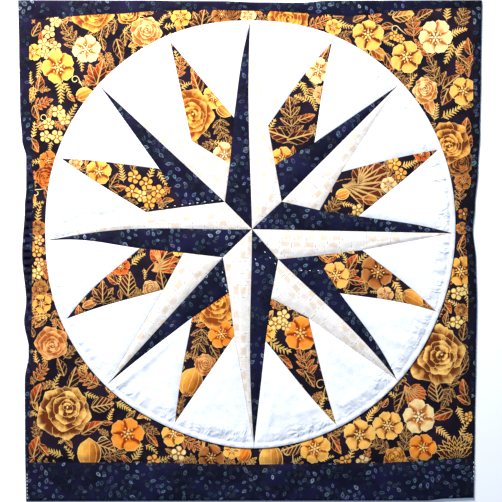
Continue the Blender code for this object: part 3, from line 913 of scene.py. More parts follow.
class MotifBook:
    """Draws the flowers, leaves and sprigs of the flowered print, shape on shape.

    Leaves and petals longer than these lengths have more points, and such leaves show ribs.
    """

    large_leaf = 12.5
    large_petal = 10.0

    def __init__(self, seed: int) -> None:
        """Start an empty print whose small differences come from a seed."""
        self.shapes: list[PrintedShape] = []
        self.draw = np.random.default_rng(seed)

    def lay(self, outline: Array, paint: Paint, light: Colour, deep: Colour,
            seat: Seat, hollow: float = 0.25) -> None:
        """Lay one shape on the print."""
        self.shapes.append(PrintedShape(seat.world(outline), paint, light, deep, seat, hollow))

    def gilt(self, outline: Array, colours: Colouring, seat: Seat) -> None:
        """Lay a shape in the pale gilt of outlines."""
        self.lay(outline, Paint.GILT, colours.rim, colours.light, seat)

    def petal(self, seat: Seat, spread: float, lobes: float, wave: float, colours: Colouring,
              line: float = 0.75, base: float = 0.1, rim: Colour | None = None,
              hollow: float = 0.25) -> None:
        """Lay a petal: its gilt outline, then its shaded face a line's width inside it.

        Args:
            seat: the flower's middle, with the petal's turn and reach.
            spread: half its opening, in radians.
            lobes: waves along its outer edge.
            wave: height of those waves.
            colours: its colouring.
            line: width of its gilt outline.
            base: how far from the middle it starts.
            rim: colour of the outline, if not gilt.
            hollow: shade in its middle.
        """
        inset = min(line / seat.size, 0.2)
        steps = 11 if seat.size > self.large_petal else 8
        self.lay(petal_outline(spread, lobes, wave, 0.0, base, steps), Paint.GILT,
                 rim or colours.rim, rim or colours.light, seat)
        self.lay(petal_outline(spread, lobes, wave, inset, base, steps), Paint.PETAL,
                 colours.light, colours.deep, seat, hollow)

    def blossom(self, seat: Seat, colours: Colouring) -> None:
        """An open flower of five or six scalloped petals round a pale star.

        Args:
            seat: where it lies.
            colours: its colouring.
        """
        count = int(self.draw.integers(5, 7))
        step = 2.0 * math.pi / count
        for index in range(count):
            size = self.draw.uniform(0.92, 1.05)
            self.petal(seat.at(0.0, 0.0, index * step, size), 0.56 * step, 3.0, 0.035, colours,
                       0.55, hollow=0.22)
        for index in range(count):
            ray = seat.at(0.0, 0.0, (index + 0.5) * step, 1.0)
            self.lay(np.array(((0.1, 0.0), (0.26, -0.06), (0.62, 0.0), (0.26, 0.06))), Paint.GILT,
                     FLOWER_HEART, colours.deep, ray)
            self.lay(disc_outline(0.34, 0.0, 0.04, 6), Paint.GILT, POLLEN, colours.rim, ray)
        for index in range(count):
            ray = seat.at(0.0, 0.0, index * step, 1.0)
            self.lay(np.array(((0.05, -0.035), (0.2, -0.05), (0.46, 0.0), (0.2, 0.05),
                               (0.05, 0.035))), Paint.GILT, colours.rim, colours.light, ray)
        self.lay(disc_outline(0.0, 0.0, 0.11, 10), Paint.GILT, FLOWER_HEART, colours.deep, seat)
        self.lay(disc_outline(0.0, 0.0, 0.075, 8), Paint.GILT, POLLEN, colours.light, seat)

    def rose(self, seat: Seat, colours: Colouring) -> None:
        """A full flower of ruffled petals, layer within layer, its heart off the middle.

        Args:
            seat: where it lies.
            colours: its colouring.
        """
        layers = ((1.0, 5, 0.80, 0.68), (0.74, 4, 0.95, 0.64), (0.52, 3, 1.15, 0.58),
                  (0.35, 3, 1.15, 0.5), (0.2, 2, 1.4, 0.36))
        lean = self.draw.uniform(-0.5, 0.5)
        for depth, (reach, count, spread, hollow) in enumerate(layers):
            shift = 0.26 * (1.0 - reach)
            turn = self.draw.uniform(0.0, 2.0 * math.pi)
            for index in range(count):
                size = reach * self.draw.uniform(0.94, 1.06)
                side = seat.at(shift * math.cos(lean), shift * math.sin(lean),
                               turn + index * 2.0 * math.pi / count, size)
                self.petal(side, spread, self.draw.uniform(1.8, 3.2), 0.06, colours,
                           0.4, 0.3 if depth < 3 else 0.08, colours.light, hollow)
        heart = seat.at(0.22 * math.cos(lean), 0.22 * math.sin(lean), lean, 1.0)
        self.lay(disc_outline(0.0, 0.0, 0.085, 9), Paint.GILT, DARK_CENTRE, colours.deep, heart)
        self.lay(blade_outline(0.3), Paint.GILT, colours.rim, colours.light,
                 heart.at(-0.05, 0.01, 0.5, 0.1))

    def daisy(self, seat: Seat, colours: Colouring) -> None:
        """A small pale flower of five round petals, lined in brown.

        Args:
            seat: where it lies.
            colours: its colouring.
        """
        for index in range(5):
            self.petal(seat.at(0.0, 0.0, index * 0.4 * math.pi, 1.0), 0.56, 1.0, 0.02, colours,
                       0.3, 0.0, DAISY_LINE, 0.1)
        self.lay(disc_outline(0.0, 0.0, 0.3, 8), Paint.GILT, DAISY_LINE, DARK_CENTRE, seat)
        self.lay(disc_outline(0.0, 0.0, 0.19, 7), Paint.GILT, POLLEN, colours.light, seat)

    def bud(self, seat: Seat, colours: Colouring) -> None:
        """A round closed flower with lines from its foot to its tip, and a small calyx.

        Args:
            seat: where it lies.
            colours: its colouring.
        """
        ring = np.concatenate((disc_outline(0.0, 0.0, 1.0, 16)[2:15], ((1.12, 0.0),)))
        inset = 0.8 / seat.size
        self.gilt(ring * (1.0, 0.84), colours, seat)
        self.lay(ring * (1.0 - inset, 0.84 - inset), Paint.BUD, colours.light, colours.deep, seat)
        places = np.linspace(-0.92, 0.9, 9)
        for side in (-0.5, 0.0, 0.5):
            swing = side * np.sqrt(np.maximum(1.0 - places ** 2, 0.0))
            self.gilt(strand_outline(np.stack((places, swing), axis=1), 0.6 / seat.size),
                      colours, seat)
        for turn in (-0.55, 0.0, 0.55):
            self.leaf(seat.at(-1.05, 0.0, turn, 0.5), COLOURINGS["russet"], 0.24)

    def leaf(self, seat: Seat, colours: Colouring, width: float = 0.27, bend: float = 0.0,
             teeth: float = 0.12, paint: Paint = Paint.LEAF) -> None:
        """A leaf blade with its gilt edge.

        Args:
            seat: its foot, reach and turn.
            colours: its colouring.
            width: half its greatest width.
            bend: how far its middle swings to the left.
            teeth: depth of the notches in its edge.
            paint: how its face is shaded.
        """
        inset = min(0.48 / seat.size, 0.3 * width)
        large = seat.size > self.large_leaf
        steps = 9 if large else 6
        self.gilt(blade_outline(width, 0.0, bend, teeth, steps), colours, seat)
        self.lay(blade_outline(width, inset, bend, teeth, steps), paint, colours.light,
                 colours.deep, seat, RIBBED if large else PLAIN)

    def lone_leaf(self, seat: Seat, colours: Colouring) -> None:
        """One leaf, centred on its seat."""
        self.leaf(seat.at(-1.0, 0.0, 0.0, 2.0), colours, self.draw.uniform(0.22, 0.3),
                  self.draw.uniform(-0.1, 0.1))

    def striped_leaf(self, seat: Seat, colours: Colouring) -> None:
        """A broad leaf with close slanting stripes, centred on its seat."""
        self.leaf(seat.at(-1.0, 0.0, 0.0, 2.0), colours, 0.34, 0.05, 0.08, Paint.STRIPED)

    def spray(self, seat: Seat, colours: Colouring) -> None:
        """A stem with pairs of leaves and one at its tip, centred on its seat.

        Args:
            seat: where it lies.
            colours: its colouring.
        """
        bend = self.draw.uniform(-0.25, 0.25)
        places = np.linspace(0.0, 1.0, 7)
        path = np.stack((-1.0 + 1.5 * places, bend * np.sin(math.pi * places)), axis=1)
        for share in (0.22, 0.52, 0.8):
            x, y = -1.0 + 1.5 * share, bend * math.sin(math.pi * share)
            for side in (-1.0, 1.0):
                size = self.draw.uniform(0.82, 1.0) * (0.95 - 0.2 * share)
                self.leaf(seat.at(x, y, side * (0.95 - 0.2 * share), size), colours, 0.25,
                          -0.06 * side)
        self.leaf(seat.at(0.42, 0.0, -0.4 * bend, 0.85), colours, 0.27)
        self.gilt(strand_outline(path, 0.75 / seat.size), colours, seat)

    def maple(self, seat: Seat, colours: Colouring) -> None:
        """A ragged leaf of five lobes with one gilt edge round them all, and its stalk.

        Args:
            seat: where it lies.
            colours: its colouring.
        """
        foot = seat.at(-0.75, 0.0, 0.0, 1.0)
        lobes = [foot.at(0.0, 0.0, turn, size) for turn, size in
                 ((-1.25, 1.05), (1.25, 1.05), (-0.62, 1.45), (0.62, 1.45), (0.0, 1.75))]
        for lobe in lobes:
            self.gilt(blade_outline(0.3, 0.0, 0.0, 0.3), colours, lobe)
        for lobe in lobes:
            self.lay(blade_outline(0.3, 0.65 / lobe.size, 0.0, 0.3), Paint.LEAF, colours.light,
                     colours.deep, lobe, RIBBED)
        stalk = np.stack((np.linspace(-0.55, 0.1, 5), np.linspace(-0.1, 0.0, 5)), axis=1)
        self.gilt(strand_outline(stalk, 0.8 / seat.size), colours, foot)

    def acanthus(self, seat: Seat, colours: Colouring) -> None:
        """A curled leaf of many narrow lobes along a curved rib.

        Args:
            seat: where it lies.
            colours: its colouring.
        """
        turns = np.linspace(-2.2, 1.5, 11)
        for index, turn in enumerate(turns):
            share = index / (len(turns) - 1)
            size = 1.0 + 0.75 * math.sin(math.pi * min(1.0, share + 0.12))
            foot = seat.at(-0.55 + 0.5 * share, 0.25 - 0.35 * share, turn * 0.62, size)
            self.leaf(foot, colours, 0.16, 0.13, 0.0)
        places = np.linspace(0.0, 1.0, 8)
        rib = np.stack((-1.0 + 1.5 * places, 0.5 - 0.75 * places + 0.2 * np.sin(3.0 * places)),
                       axis=1)
        self.gilt(strand_outline(rib, 0.9 / seat.size), colours, seat)

    def fern(self, seat: Seat, colours: Colouring) -> None:
        """A gilt sprig with pairs of short fingers, centred on its seat.

        Args:
            seat: where it lies.
            colours: its colouring.
        """
        bend = self.draw.uniform(-0.2, 0.2)
        places = np.linspace(0.0, 1.0, 6)
        path = np.stack((-1.0 + 1.8 * places, bend * np.sin(math.pi * places)), axis=1)
        self.gilt(strand_outline(path, 0.8 / seat.size), colours, seat)
        pairs = 6 if seat.size > 11.0 else 5
        for index in range(pairs):
            share = 0.12 + 0.8 * index / (pairs - 1)
            x, y = -1.0 + 1.8 * share, bend * math.sin(math.pi * share)
            for side in (-1.0, 1.0):
                size = 0.62 - 0.24 * share
                finger = seat.at(x, y, side * (0.95 - 0.25 * share), size)
                self.gilt(blade_outline(max(0.13, 0.52 / finger.size), 0.0, -0.1 * side, 0.0, 4),
                          colours, finger)
        self.gilt(blade_outline(0.2, 0.0, 0.0, 0.0, 4), colours, seat.at(0.72, 0.0, 0.0, 0.4))

    def tendril(self, seat: Seat, colours: Colouring) -> None:
        """A fine stem that ends in a curl.

        Args:
            seat: where it lies.
            colours: its colouring.
        """
        turns = np.linspace(0.0, 1.9 * math.pi, 15)
        curl = round_points(turns, 0.62 - 0.05 * turns)
        stem = np.stack((np.full(4, 0.62) + 0.12 * np.array((3.0, 2.2, 1.2, 0.4)) ** 2 / 4.0,
                         np.linspace(-1.9, -0.35, 4)), axis=1)
        self.gilt(strand_outline(np.concatenate((stem, curl)), 0.95 / seat.size), colours, seat)

    def carnation(self, seat: Seat, colours: Colouring) -> None:
        """A flower seen from its side: pointed petals fanned from a dark cup.

        Args:
            seat: where it lies.
            colours: its colouring.
        """
        for reach, count, spread in ((1.5, 9, 1.15), (1.15, 7, 0.95), (0.8, 5, 0.7)):
            for index in range(count):
                turn = spread * (2.0 * index / (count - 1) - 1.0)
                self.leaf(seat.at(-0.7, 0.0, turn, reach), colours, 0.19, 0.0, 0.25, Paint.PETAL)
        for turn in (-0.9, 0.9, -0.45, 0.45, 0.0):
            self.leaf(seat.at(-0.95, 0.0, turn, 0.62), COLOURINGS["wine"], 0.22)

    def motif(self, name: str, seat: Seat, colours: Colouring) -> None:
        """Lay the motif of a name."""
        {"blossom": self.blossom, "rose": self.rose, "daisy": self.daisy, "bud": self.bud,
         "leaf": self.lone_leaf, "striped": self.striped_leaf, "spray": self.spray,
         "maple": self.maple, "acanthus": self.acanthus, "fern": self.fern,
         "tendril": self.tendril, "carnation": self.carnation}[name](seat, colours)


def set_motifs() -> Iterator[tuple[str, Seat, str]]:
    """Each motif of the table, its seat and the name of its colouring, in laying order.

    Returns:
        The motif's name, its seat and its colouring's name, in turn.
    """
    for motif, spots in SPOTS.items():
        for spot in spots.split(","):
            *numbers, colouring = spot.split()
            x, y, reach, turn = (float(number) for number in numbers)
            yield motif, Seat(x, y, math.radians(turn), reach), colouring


def fill_between(book: MotifBook, rim: RimLine, pitch: float = 12.0) -> None:
    """Lay small leaves and ferns where the large motifs would leave the ground bare.

    Args:
        book: the print so far.
        rim: the round panel's rim, under which only the short points show flowers.
        pitch: distance between the places that are tried.
    """
    draw = np.random.default_rng(9)
    seats = [seat for _, seat, _ in set_motifs()]
    spots = np.array([(seat.x, seat.y) for seat in seats])
    reaches = np.array([seat.size for seat in seats])
    grid = np.stack(np.meshgrid(np.arange(-300.0, 300.0, pitch),
                                np.arange(-290.0, 328.0, pitch)), axis=-1).reshape(-1, 2)
    grid += draw.uniform(-0.4, 0.4, grid.shape) * pitch
    inward = rim.inward(grid)
    for place, depth in zip(grid, inward):
        gaps = np.hypot(*(spots - place).T) - reaches
        kind = str(draw.choice(("leaf", "spray", "leaf", "fern", "leaf", "spray")))
        colouring = str(draw.choice(("brown", "russet", "wine", "brown", "russet", "gold")))
        turn = draw.uniform(0.0, 2.0 * math.pi)
        reach = draw.uniform(7.0, 10.5)
        if gaps.min() < 0.0 or (depth > 4.0 and gaps.min() > 16.0):
            continue
        if kind == "fern":
            colouring = "straw"
        book.motif(kind, Seat(float(place[0]), float(place[1]), turn, reach),
                   COLOURINGS[colouring])


def flowered_print(rim: RimLine) -> list[PrintedShape]:
    """The flowered print over the whole quilt: leaves lowest, daisies on top.

    Args:
        rim: rim of the round panel.

    Returns:
        The shapes in laying order.
    """
    book = MotifBook(5)
    fill_between(book, rim)
    for motif, seat, colouring in set_motifs():
        book.motif(motif, seat, COLOURINGS[colouring])
    return book.shapes


@dataclass(frozen=True)
class LeafPrint:
    """Sprigs of small leaf outlines, some bright and most dim, scattered over navy cloth."""

    pitch: float = 19.5
    leaf_length: float = 8.2
    leaf_width: float = 0.29
    leaf_spacing: float = 7.4
    hues: tuple[Colour, ...] = (linear(138, 158, 180), linear(100, 124, 158),
                                linear(98, 98, 148), linear(88, 122, 142))
    line_width: float = 0.95

    def leaf(self, seat: Seat, glow: float, hue: Colour, shapes: list[PrintedShape]) -> None:
        """Lay one leaf: its outline, then its darker face.

        Args:
            seat: its foot, reach and turn.
            glow: brightness of its outline.
            hue: its full colour.
            shapes: list that it joins.
        """
        line = tuple(part * (0.07 + 0.93 * glow) for part in hue)
        face = tuple(part * (0.05 + 0.22 * glow) for part in hue)
        shapes.append(PrintedShape(seat.world(blade_outline(self.leaf_width, 0.0, 0.0, 0.0, 5)),
                                   Paint.GILT, line, tuple(0.45 * part for part in line), seat))
        inset = self.line_width / seat.size
        shapes.append(PrintedShape(
            seat.world(blade_outline(self.leaf_width, inset, 0.0, 0.0, 4)), Paint.BUD, face,
            tuple(0.4 * part for part in face), seat))

    def scattered(self, ring: Array, seed: int) -> list[PrintedShape]:
        """The print over a cloth.

        Args:
            ring: the cloth's outline.
            seed: which part of the printed length the cloth is cut from.

        Returns:
            The printed shapes, stems lowest.
        """
        draw = np.random.default_rng(seed)
        low, high = ring.min(axis=0) - self.pitch, ring.max(axis=0) + self.pitch
        stems: list[PrintedShape] = []
        leaves: list[PrintedShape] = []
        for row, y in enumerate(np.arange(low[1], high[1], self.pitch * 0.87)):
            for x in np.arange(low[0] + (row % 2) * self.pitch / 2.0, high[0], self.pitch):
                spot = np.array((x, y)) + draw.uniform(-0.3, 0.3, 2) * self.pitch
                turn = draw.uniform(0.0, 2.0 * math.pi)
                glow = draw.beta(1.1, 2.4)
                self.sprig(Seat(float(spot[0]), float(spot[1]), turn, 1.0), glow, draw, stems,
                           leaves)
        return stems + leaves

    def sprig(self, seat: Seat, glow: float, draw: np.random.Generator,
              stems: list[PrintedShape], leaves: list[PrintedShape]) -> None:
        """Lay a curved stem with leaves to both sides and one at its tip.

        Args:
            seat: its middle and turn.
            glow: brightness of its lines.
            draw: source of the draws.
            stems: list that the stem joins.
            leaves: list that the leaves join.
        """
        count = int(draw.integers(3, 7))
        bend = draw.uniform(-3.5, 3.5)
        length = 0.62 * self.leaf_spacing * count
        places = np.linspace(0.0, 1.0, 6)
        path = np.stack((length * (places - 0.5), bend * np.sin(math.pi * places)), axis=1)
        dim = tuple(0.11 * part for part in self.hues[1])
        stems.append(PrintedShape(seat.world(strand_outline(path, 0.5)), Paint.GILT, dim, dim,
                                  seat))
        for index in range(count):
            share = (index + 0.4) / count
            side = 1.0 if index % 2 else -1.0
            hue = self.hues[int(draw.integers(len(self.hues)))]
            x = length * (share - 0.5)
            y = bend * math.sin(math.pi * share) + side * draw.uniform(0.8, 2.6)
            size = self.leaf_length * draw.uniform(0.7, 1.05)
            spread = side * draw.uniform(0.5, 1.3)
            shine = min(1.0, max(0.0, glow + draw.normal(0.0, 0.22)))
            self.leaf(seat.at(x, y, spread, size), shine ** 1.5, hue, leaves)


def reckoned(operation: str, turned_round: bool = False) -> Callable[..., "Wire"]:
    """A method that joins a wire and another value by one Math node.

    Args:
        operation: the node's operation.
        turned_round: whether the other value comes first.

    Returns:
        The method.
    """
    def method(wire: "Wire", other: "Wire | float") -> "Wire":
        """The node's result."""
        values = (other, wire) if turned_round else (wire, other)
        return wire.sketch.reckon(operation, *values)
    return method


class Wire:
    """A value on its way from one shader node to the next, with plain arithmetic."""

    __add__ = __radd__ = reckoned("ADD")
    __sub__ = reckoned("SUBTRACT")
    __rsub__ = reckoned("SUBTRACT", True)
    __mul__ = __rmul__ = reckoned("MULTIPLY")
    __truediv__ = reckoned("DIVIDE")

    def __init__(self, sketch: "Sketch", socket: bpy.types.NodeSocket) -> None:
        """Hold an output socket of a sketch's node."""
        self.sketch = sketch
        self.socket = socket

    def __abs__(self) -> "Wire":
        """This value without its sign."""
        return self.sketch.reckon("ABSOLUTE", self)

    def __floor__(self) -> "Wire":
        """The whole number at or below this value."""
        return self.sketch.reckon("FLOOR", self)

    def fraction(self) -> "Wire":
        """What this value is above the whole number below it."""
        return self.sketch.reckon("FRACT", self)


Value = Wire | float | Colour


class Sketch:
    """Adds nodes to one node tree."""

    def __init__(self, tree: Tree) -> None:
        """Draw in a tree, which keeps what it already has."""
        self.tree = tree

    def node(self, kind: str, **settings: object) -> bpy.types.Node:
        """A new node with some of its properties set."""
        made = self.tree.nodes.new(kind)
        for name, value in settings.items():
            setattr(made, name, value)
        return made

    def feed(self, socket: bpy.types.NodeSocket, value: Value) -> None:
        """Join a wire to an input, or set the input to a number or colour.

        Args:
            socket: the input.
            value: what it is given.
        """
        if isinstance(value, Wire):
            self.tree.links.new(value.socket, socket)
        elif isinstance(value, tuple) and socket.type == "RGBA":
            socket.default_value = (*value, 1.0)
        else:
            socket.default_value = value

    def reckon(self, operation: str, *values: "Wire | float", clamp: bool = False) -> Wire:
        """One Math node."""
        made = self.node("ShaderNodeMath", operation=operation, use_clamp=clamp)
        for socket, value in zip(made.inputs, values):
            self.feed(socket, value)
        return Wire(self, made.outputs[0])

    def rise(self, value: Wire, low: float, high: float) -> Wire:
        """Smooth rise from 0 to 1 as a value goes from low to high."""
        made = self.node("ShaderNodeMapRange", interpolation_type="SMOOTHSTEP")
        for socket, each in zip(made.inputs, (value, low, high, 0.0, 1.0)):
            self.feed(socket, each)
        return Wire(self, made.outputs[0])

    def blend(self, low: Value, high: Value, share: "Wire | float", way: str = "MIX") -> Wire:
        """A colour between two, or two combined in another way."""
        made = self.node("ShaderNodeMix", data_type="RGBA", blend_type=way)
        for index, value in ((0, share), (6, low), (7, high)):
            self.feed(made.inputs[index], value)
        return Wire(self, made.outputs[2])

    def noise(self, place: Wire, scale: float, detail: float = 2.0, rough: float = 0.5) -> Wire:
        """Soft noise from 0 to 1.

        Args:
            place: where it is read.
            scale: lumps in a unit of length.
            detail: layers of finer noise.
            rough: strength of the finer layers.

        Returns:
            The noise.
        """
        made = self.node("ShaderNodeTexNoise")
        for name, value in (("Vector", place), ("Scale", scale), ("Detail", detail),
                            ("Roughness", rough)):
            self.feed(made.inputs[name], value)
        return Wire(self, made.outputs["Fac"])

    def chance(self, place: Wire) -> Wire:
        """A chance value from 0 to 1 that changes wherever the place does."""
        made = self.node("ShaderNodeTexWhiteNoise", noise_dimensions="3D")
        self.feed(made.inputs["Vector"], place)
        return Wire(self, made.outputs["Value"])

    def split(self, vector: Wire) -> tuple[Wire, Wire, Wire]:
        """The three parts of a vector."""
        made = self.node("ShaderNodeSeparateXYZ")
        self.feed(made.inputs[0], vector)
        return tuple(Wire(self, socket) for socket in made.outputs)

    def join(self, x: "Wire | float", y: "Wire | float", z: "Wire | float" = 0.0) -> Wire:
        """A vector of three values."""
        made = self.node("ShaderNodeCombineXYZ")
        for socket, value in zip(made.inputs, (x, y, z)):
            self.feed(socket, value)
        return Wire(self, made.outputs[0])

    def attribute(self, name: str, kind: str = "Vector") -> Wire:
        """What the mesh keeps under a name."""
        made = self.node("ShaderNodeAttribute", attribute_name=name)
        return Wire(self, made.outputs[kind])

    def object_place(self) -> Wire:
        """Place on the piece, in metres."""
        return Wire(self, self.node("ShaderNodeTexCoord").outputs["Object"])

    def group(self, tree: Tree, **inputs: Value) -> dict[str, Wire]:
        """A node group with some inputs given, and its outputs by name."""
        made = self.node("ShaderNodeGroup", node_tree=tree)
        for name, value in inputs.items():
            self.feed(made.inputs[name.replace("_", " ").title()], value)
        return {socket.name: Wire(self, socket) for socket in made.outputs}


class ShaderGroup:
    """A shared shader effect, built once as a node group with named sockets."""

    def __init__(self, name: str, takes: dict[str, str], gives: dict[str, str]) -> None:
        """Make the group's sockets from names and kinds.

        Args:
            name: name of the group.
            takes: kind of each input.
            gives: kind of each output.
        """
        self.tree = bpy.data.node_groups.new(name, "ShaderNodeTree")
        for in_out, sockets in (("INPUT", takes), ("OUTPUT", gives)):
            for label, kind in sockets.items():
                self.tree.interface.new_socket(label, in_out=in_out,
                                               socket_type="NodeSocket" + kind)
        self.sketch = Sketch(self.tree)
        self.taken = self.sketch.node("NodeGroupInput")
        self.given = self.sketch.node("NodeGroupOutput")

    def take(self, label: str) -> Wire:
        """One of the group's inputs."""
        return Wire(self.sketch, self.taken.outputs[label])

    def give(self, label: str, value: Wire) -> None:
        """Set one of the group's outputs."""
        self.sketch.feed(self.given.inputs[label], value)


def woven_cotton_group() -> Tree:
    """Plain weave with uneven threads: its height, and how it lightens and darkens a colour.

    Returns:
        The node group.
    """
    group = ShaderGroup("woven_cotton", {"Grain": "Vector", "Thread": "Float"},
                        {"Height": "Float", "Tone": "Float"})
    draw = group.sketch
    across, along, _ = draw.split(group.take("Grain"))
    turn = draw.reckon("DIVIDE", math.pi, group.take("Thread"))
    warp = draw.reckon("SINE", across * turn)
    weft = draw.reckon("SINE", along * turn)
    over = draw.rise(warp * weft, -0.3, 0.3)
    height = abs(weft) + (abs(warp) - abs(weft)) * over
    slub_across = draw.noise(draw.join(across * 0.12, along), 900.0, 1.0)
    slub_along = draw.noise(draw.join(across, along * 0.12), 900.0, 1.0)
    slubs = slub_across + slub_along
    group.give("Height", height * 0.6 + slubs * 0.4)
    group.give("Tone", (slubs - 1.0) * 0.3 + 1.0)
    return group.tree


def cloth_wear_group() -> Tree:
    """Small soft wrinkles of washed cotton, and its faint uneven fading.

    Returns:
        The node group.
    """
    group = ShaderGroup("washed_cotton", {"Place": "Vector"},
                        {"Wrinkle": "Float", "Fading": "Float"})
    draw = group.sketch
    place = group.take("Place")
    fine = draw.noise(place, 190.0, 3.0, 0.55)
    broad = draw.noise(place, 60.0, 2.0, 0.5)
    group.give("Wrinkle", fine * 0.4 + broad * 0.6)
    group.give("Fading", draw.noise(place, 14.0, 3.0, 0.6))
    return group.tree


def rim_gathers_group() -> Tree:
    """Small gathers and creases of cloth drawn in along a round hem.

    Returns:
        The node group.
    """
    group = ShaderGroup("rim_gathers", {"Way": "Vector", "Place": "Vector"}, {"Height": "Float"})
    draw = group.sketch
    around, inward, _ = draw.split(group.take("Way"))
    place = group.take("Place")
    wander = (draw.noise(place, 32.0, 2.0) - 0.5) * 0.03
    fine = draw.noise(draw.join(around + wander, inward * 0.34), 88.0, 2.0, 0.6)
    pleats = draw.rise(abs(fine - 0.5), 0.0, 0.22)
    crumple = draw.noise(draw.join(around * 0.7 + wander, inward + wander), 62.0, 2.0, 0.55)
    creases = draw.rise(abs(crumple - 0.5), 0.0, 0.2)
    pull = draw.rise(inward, 0.004, 0.010) * (1.0 - draw.rise(inward, 0.014, 0.036))
    patchy = draw.rise(draw.noise(place, 22.0, 1.0), 0.3, 0.62)
    group.give("Height", (pleats * 0.55 + creases * 0.45) * pull * (patchy * 0.8 + 0.2))
    return group.tree


# How the middle tone of a printed shape is warmer than its light and deep tones
WARM_MIDDLE = (1.12, 0.9, 0.6)


def printed_paint_group() -> Tree:
    """Colours of the print's shapes: gilt lines, shaded petals, veined leaves and buds.

    Returns:
        The node group.
    """
    group = ShaderGroup("printed_paint", {"Seat": "Vector", "Place": "Vector", "Light": "Color",
                                          "Deep": "Color", "Vein": "Color"},
                        {"Color": "Color", "Printed": "Float"})
    draw = group.sketch
    x, y, kind_and_hollow = draw.split(group.take("Seat"))
    paint = math.floor(kind_and_hollow)
    hollow = kind_and_hollow.fraction()
    light, deep, vein = (group.take(name) for name in ("Light", "Deep", "Vein"))
    place = group.take("Place")

    def laid(kind: Paint) -> Wire:
        """1 where the print lays a kind of paint."""
        return draw.reckon("COMPARE", paint, float(kind.value), 0.3)

    def shaded(share: Wire) -> Wire:
        """From deep through a warm middle tone to light."""
        middle = draw.blend(draw.blend(deep, light, 0.5), WARM_MIDDLE, 1.0, "MULTIPLY")
        low = draw.blend(deep, middle, draw.rise(share, 0.0, 0.55))
        return draw.blend(low, light, draw.rise(share, 0.4, 1.0))

    speck = draw.noise(place, 420.0, 2.0)
    gilt = draw.blend(light, deep, draw.rise(speck, 0.42, 0.68))

    radius = draw.reckon("SQRT", x * x + y * y)
    angle = draw.reckon("ARCTAN2", y, x)
    streak = draw.noise(draw.join(angle * 7.0, radius * 1.3, paint), 2.2, 3.0, 0.6)
    cloud = draw.noise(place, 75.0, 2.0)
    lapped = draw.rise(angle, 0.1, 0.6) * 0.6
    opened = radius + (streak - 0.5) * 0.34 + (cloud - 0.5) * 0.8 - lapped
    petal = shaded((opened - hollow) / 0.4)
    petal = draw.blend(petal, vein, draw.rise(radius, 0.8, 1.0) * 0.35)

    side = abs(y)
    half = draw.rise(y, -0.02, 0.02) * 0.35
    leaf_share = x * 0.95 + (streak - 0.5) * 0.7 + half - 0.42
    slant = (x * 3.6 - side * 4.6).fraction()
    ribs = draw.rise(abs(slant - 0.5), 0.42, 0.48) * 0.85
    ribs = ribs * (1.0 - draw.rise(x, 0.82, 0.95)) * draw.rise(hollow, 0.3, 0.8)
    midrib = 1.0 - draw.rise(side, 0.014, 0.034)
    leaf = draw.blend(shaded(leaf_share), vein, draw.reckon("MAXIMUM", ribs, midrib) * 0.8)

    stripe = (x * 5.0 - side * 5.6).fraction()
    stripes = draw.rise(abs(stripe - 0.5), 0.35, 0.44)
    striped = draw.blend(shaded(leaf_share), vein, draw.reckon("MAXIMUM", stripes, midrib) * 0.85)

    bud = shaded(y * 0.55 + x * 0.2 + 0.5 + (cloud - 0.5) * 0.7)

    colour = gilt
    for kind, made in ((Paint.PETAL, petal), (Paint.LEAF, leaf), (Paint.STRIPED, striped),
                       (Paint.BUD, bud)):
        colour = draw.blend(colour, made, laid(kind))
    group.give("Color", colour)
    group.give("Printed", draw.reckon("GREATER_THAN", paint, 0.5))
    return group.tree


@dataclass(frozen=True)
class SharedEffects:
    """The shader groups that several finishes use."""

    weave: Tree
    wear: Tree
    gathers: Tree
    paint: Tree

    @classmethod
    def build(cls) -> "SharedEffects":
        """Build each group once."""
        return cls(woven_cotton_group(), cloth_wear_group(), rim_gathers_group(),
                   printed_paint_group())


@dataclass(frozen=True)
class PaperFinish:
    """Plain white paper, lit a little from below."""

    name: str
    colour: Colour
    glow: float

    def material(self) -> Material:
        """The finish as a material.

        Returns:
            The new material.
        """
        made = bpy.data.materials.new(self.name)
        made.use_nodes = True
        shader = made.node_tree.nodes["Principled BSDF"]
        shader.inputs["Base Color"].default_value = (*self.colour, 1.0)
        shader.inputs["Roughness"].default_value = 1.0
        shader.inputs["Specular IOR Level"].default_value = 0.0
        shader.inputs["Emission Color"].default_value = (*self.colour, 1.0)
        shader.inputs["Emission Strength"].default_value = self.glow
        return made


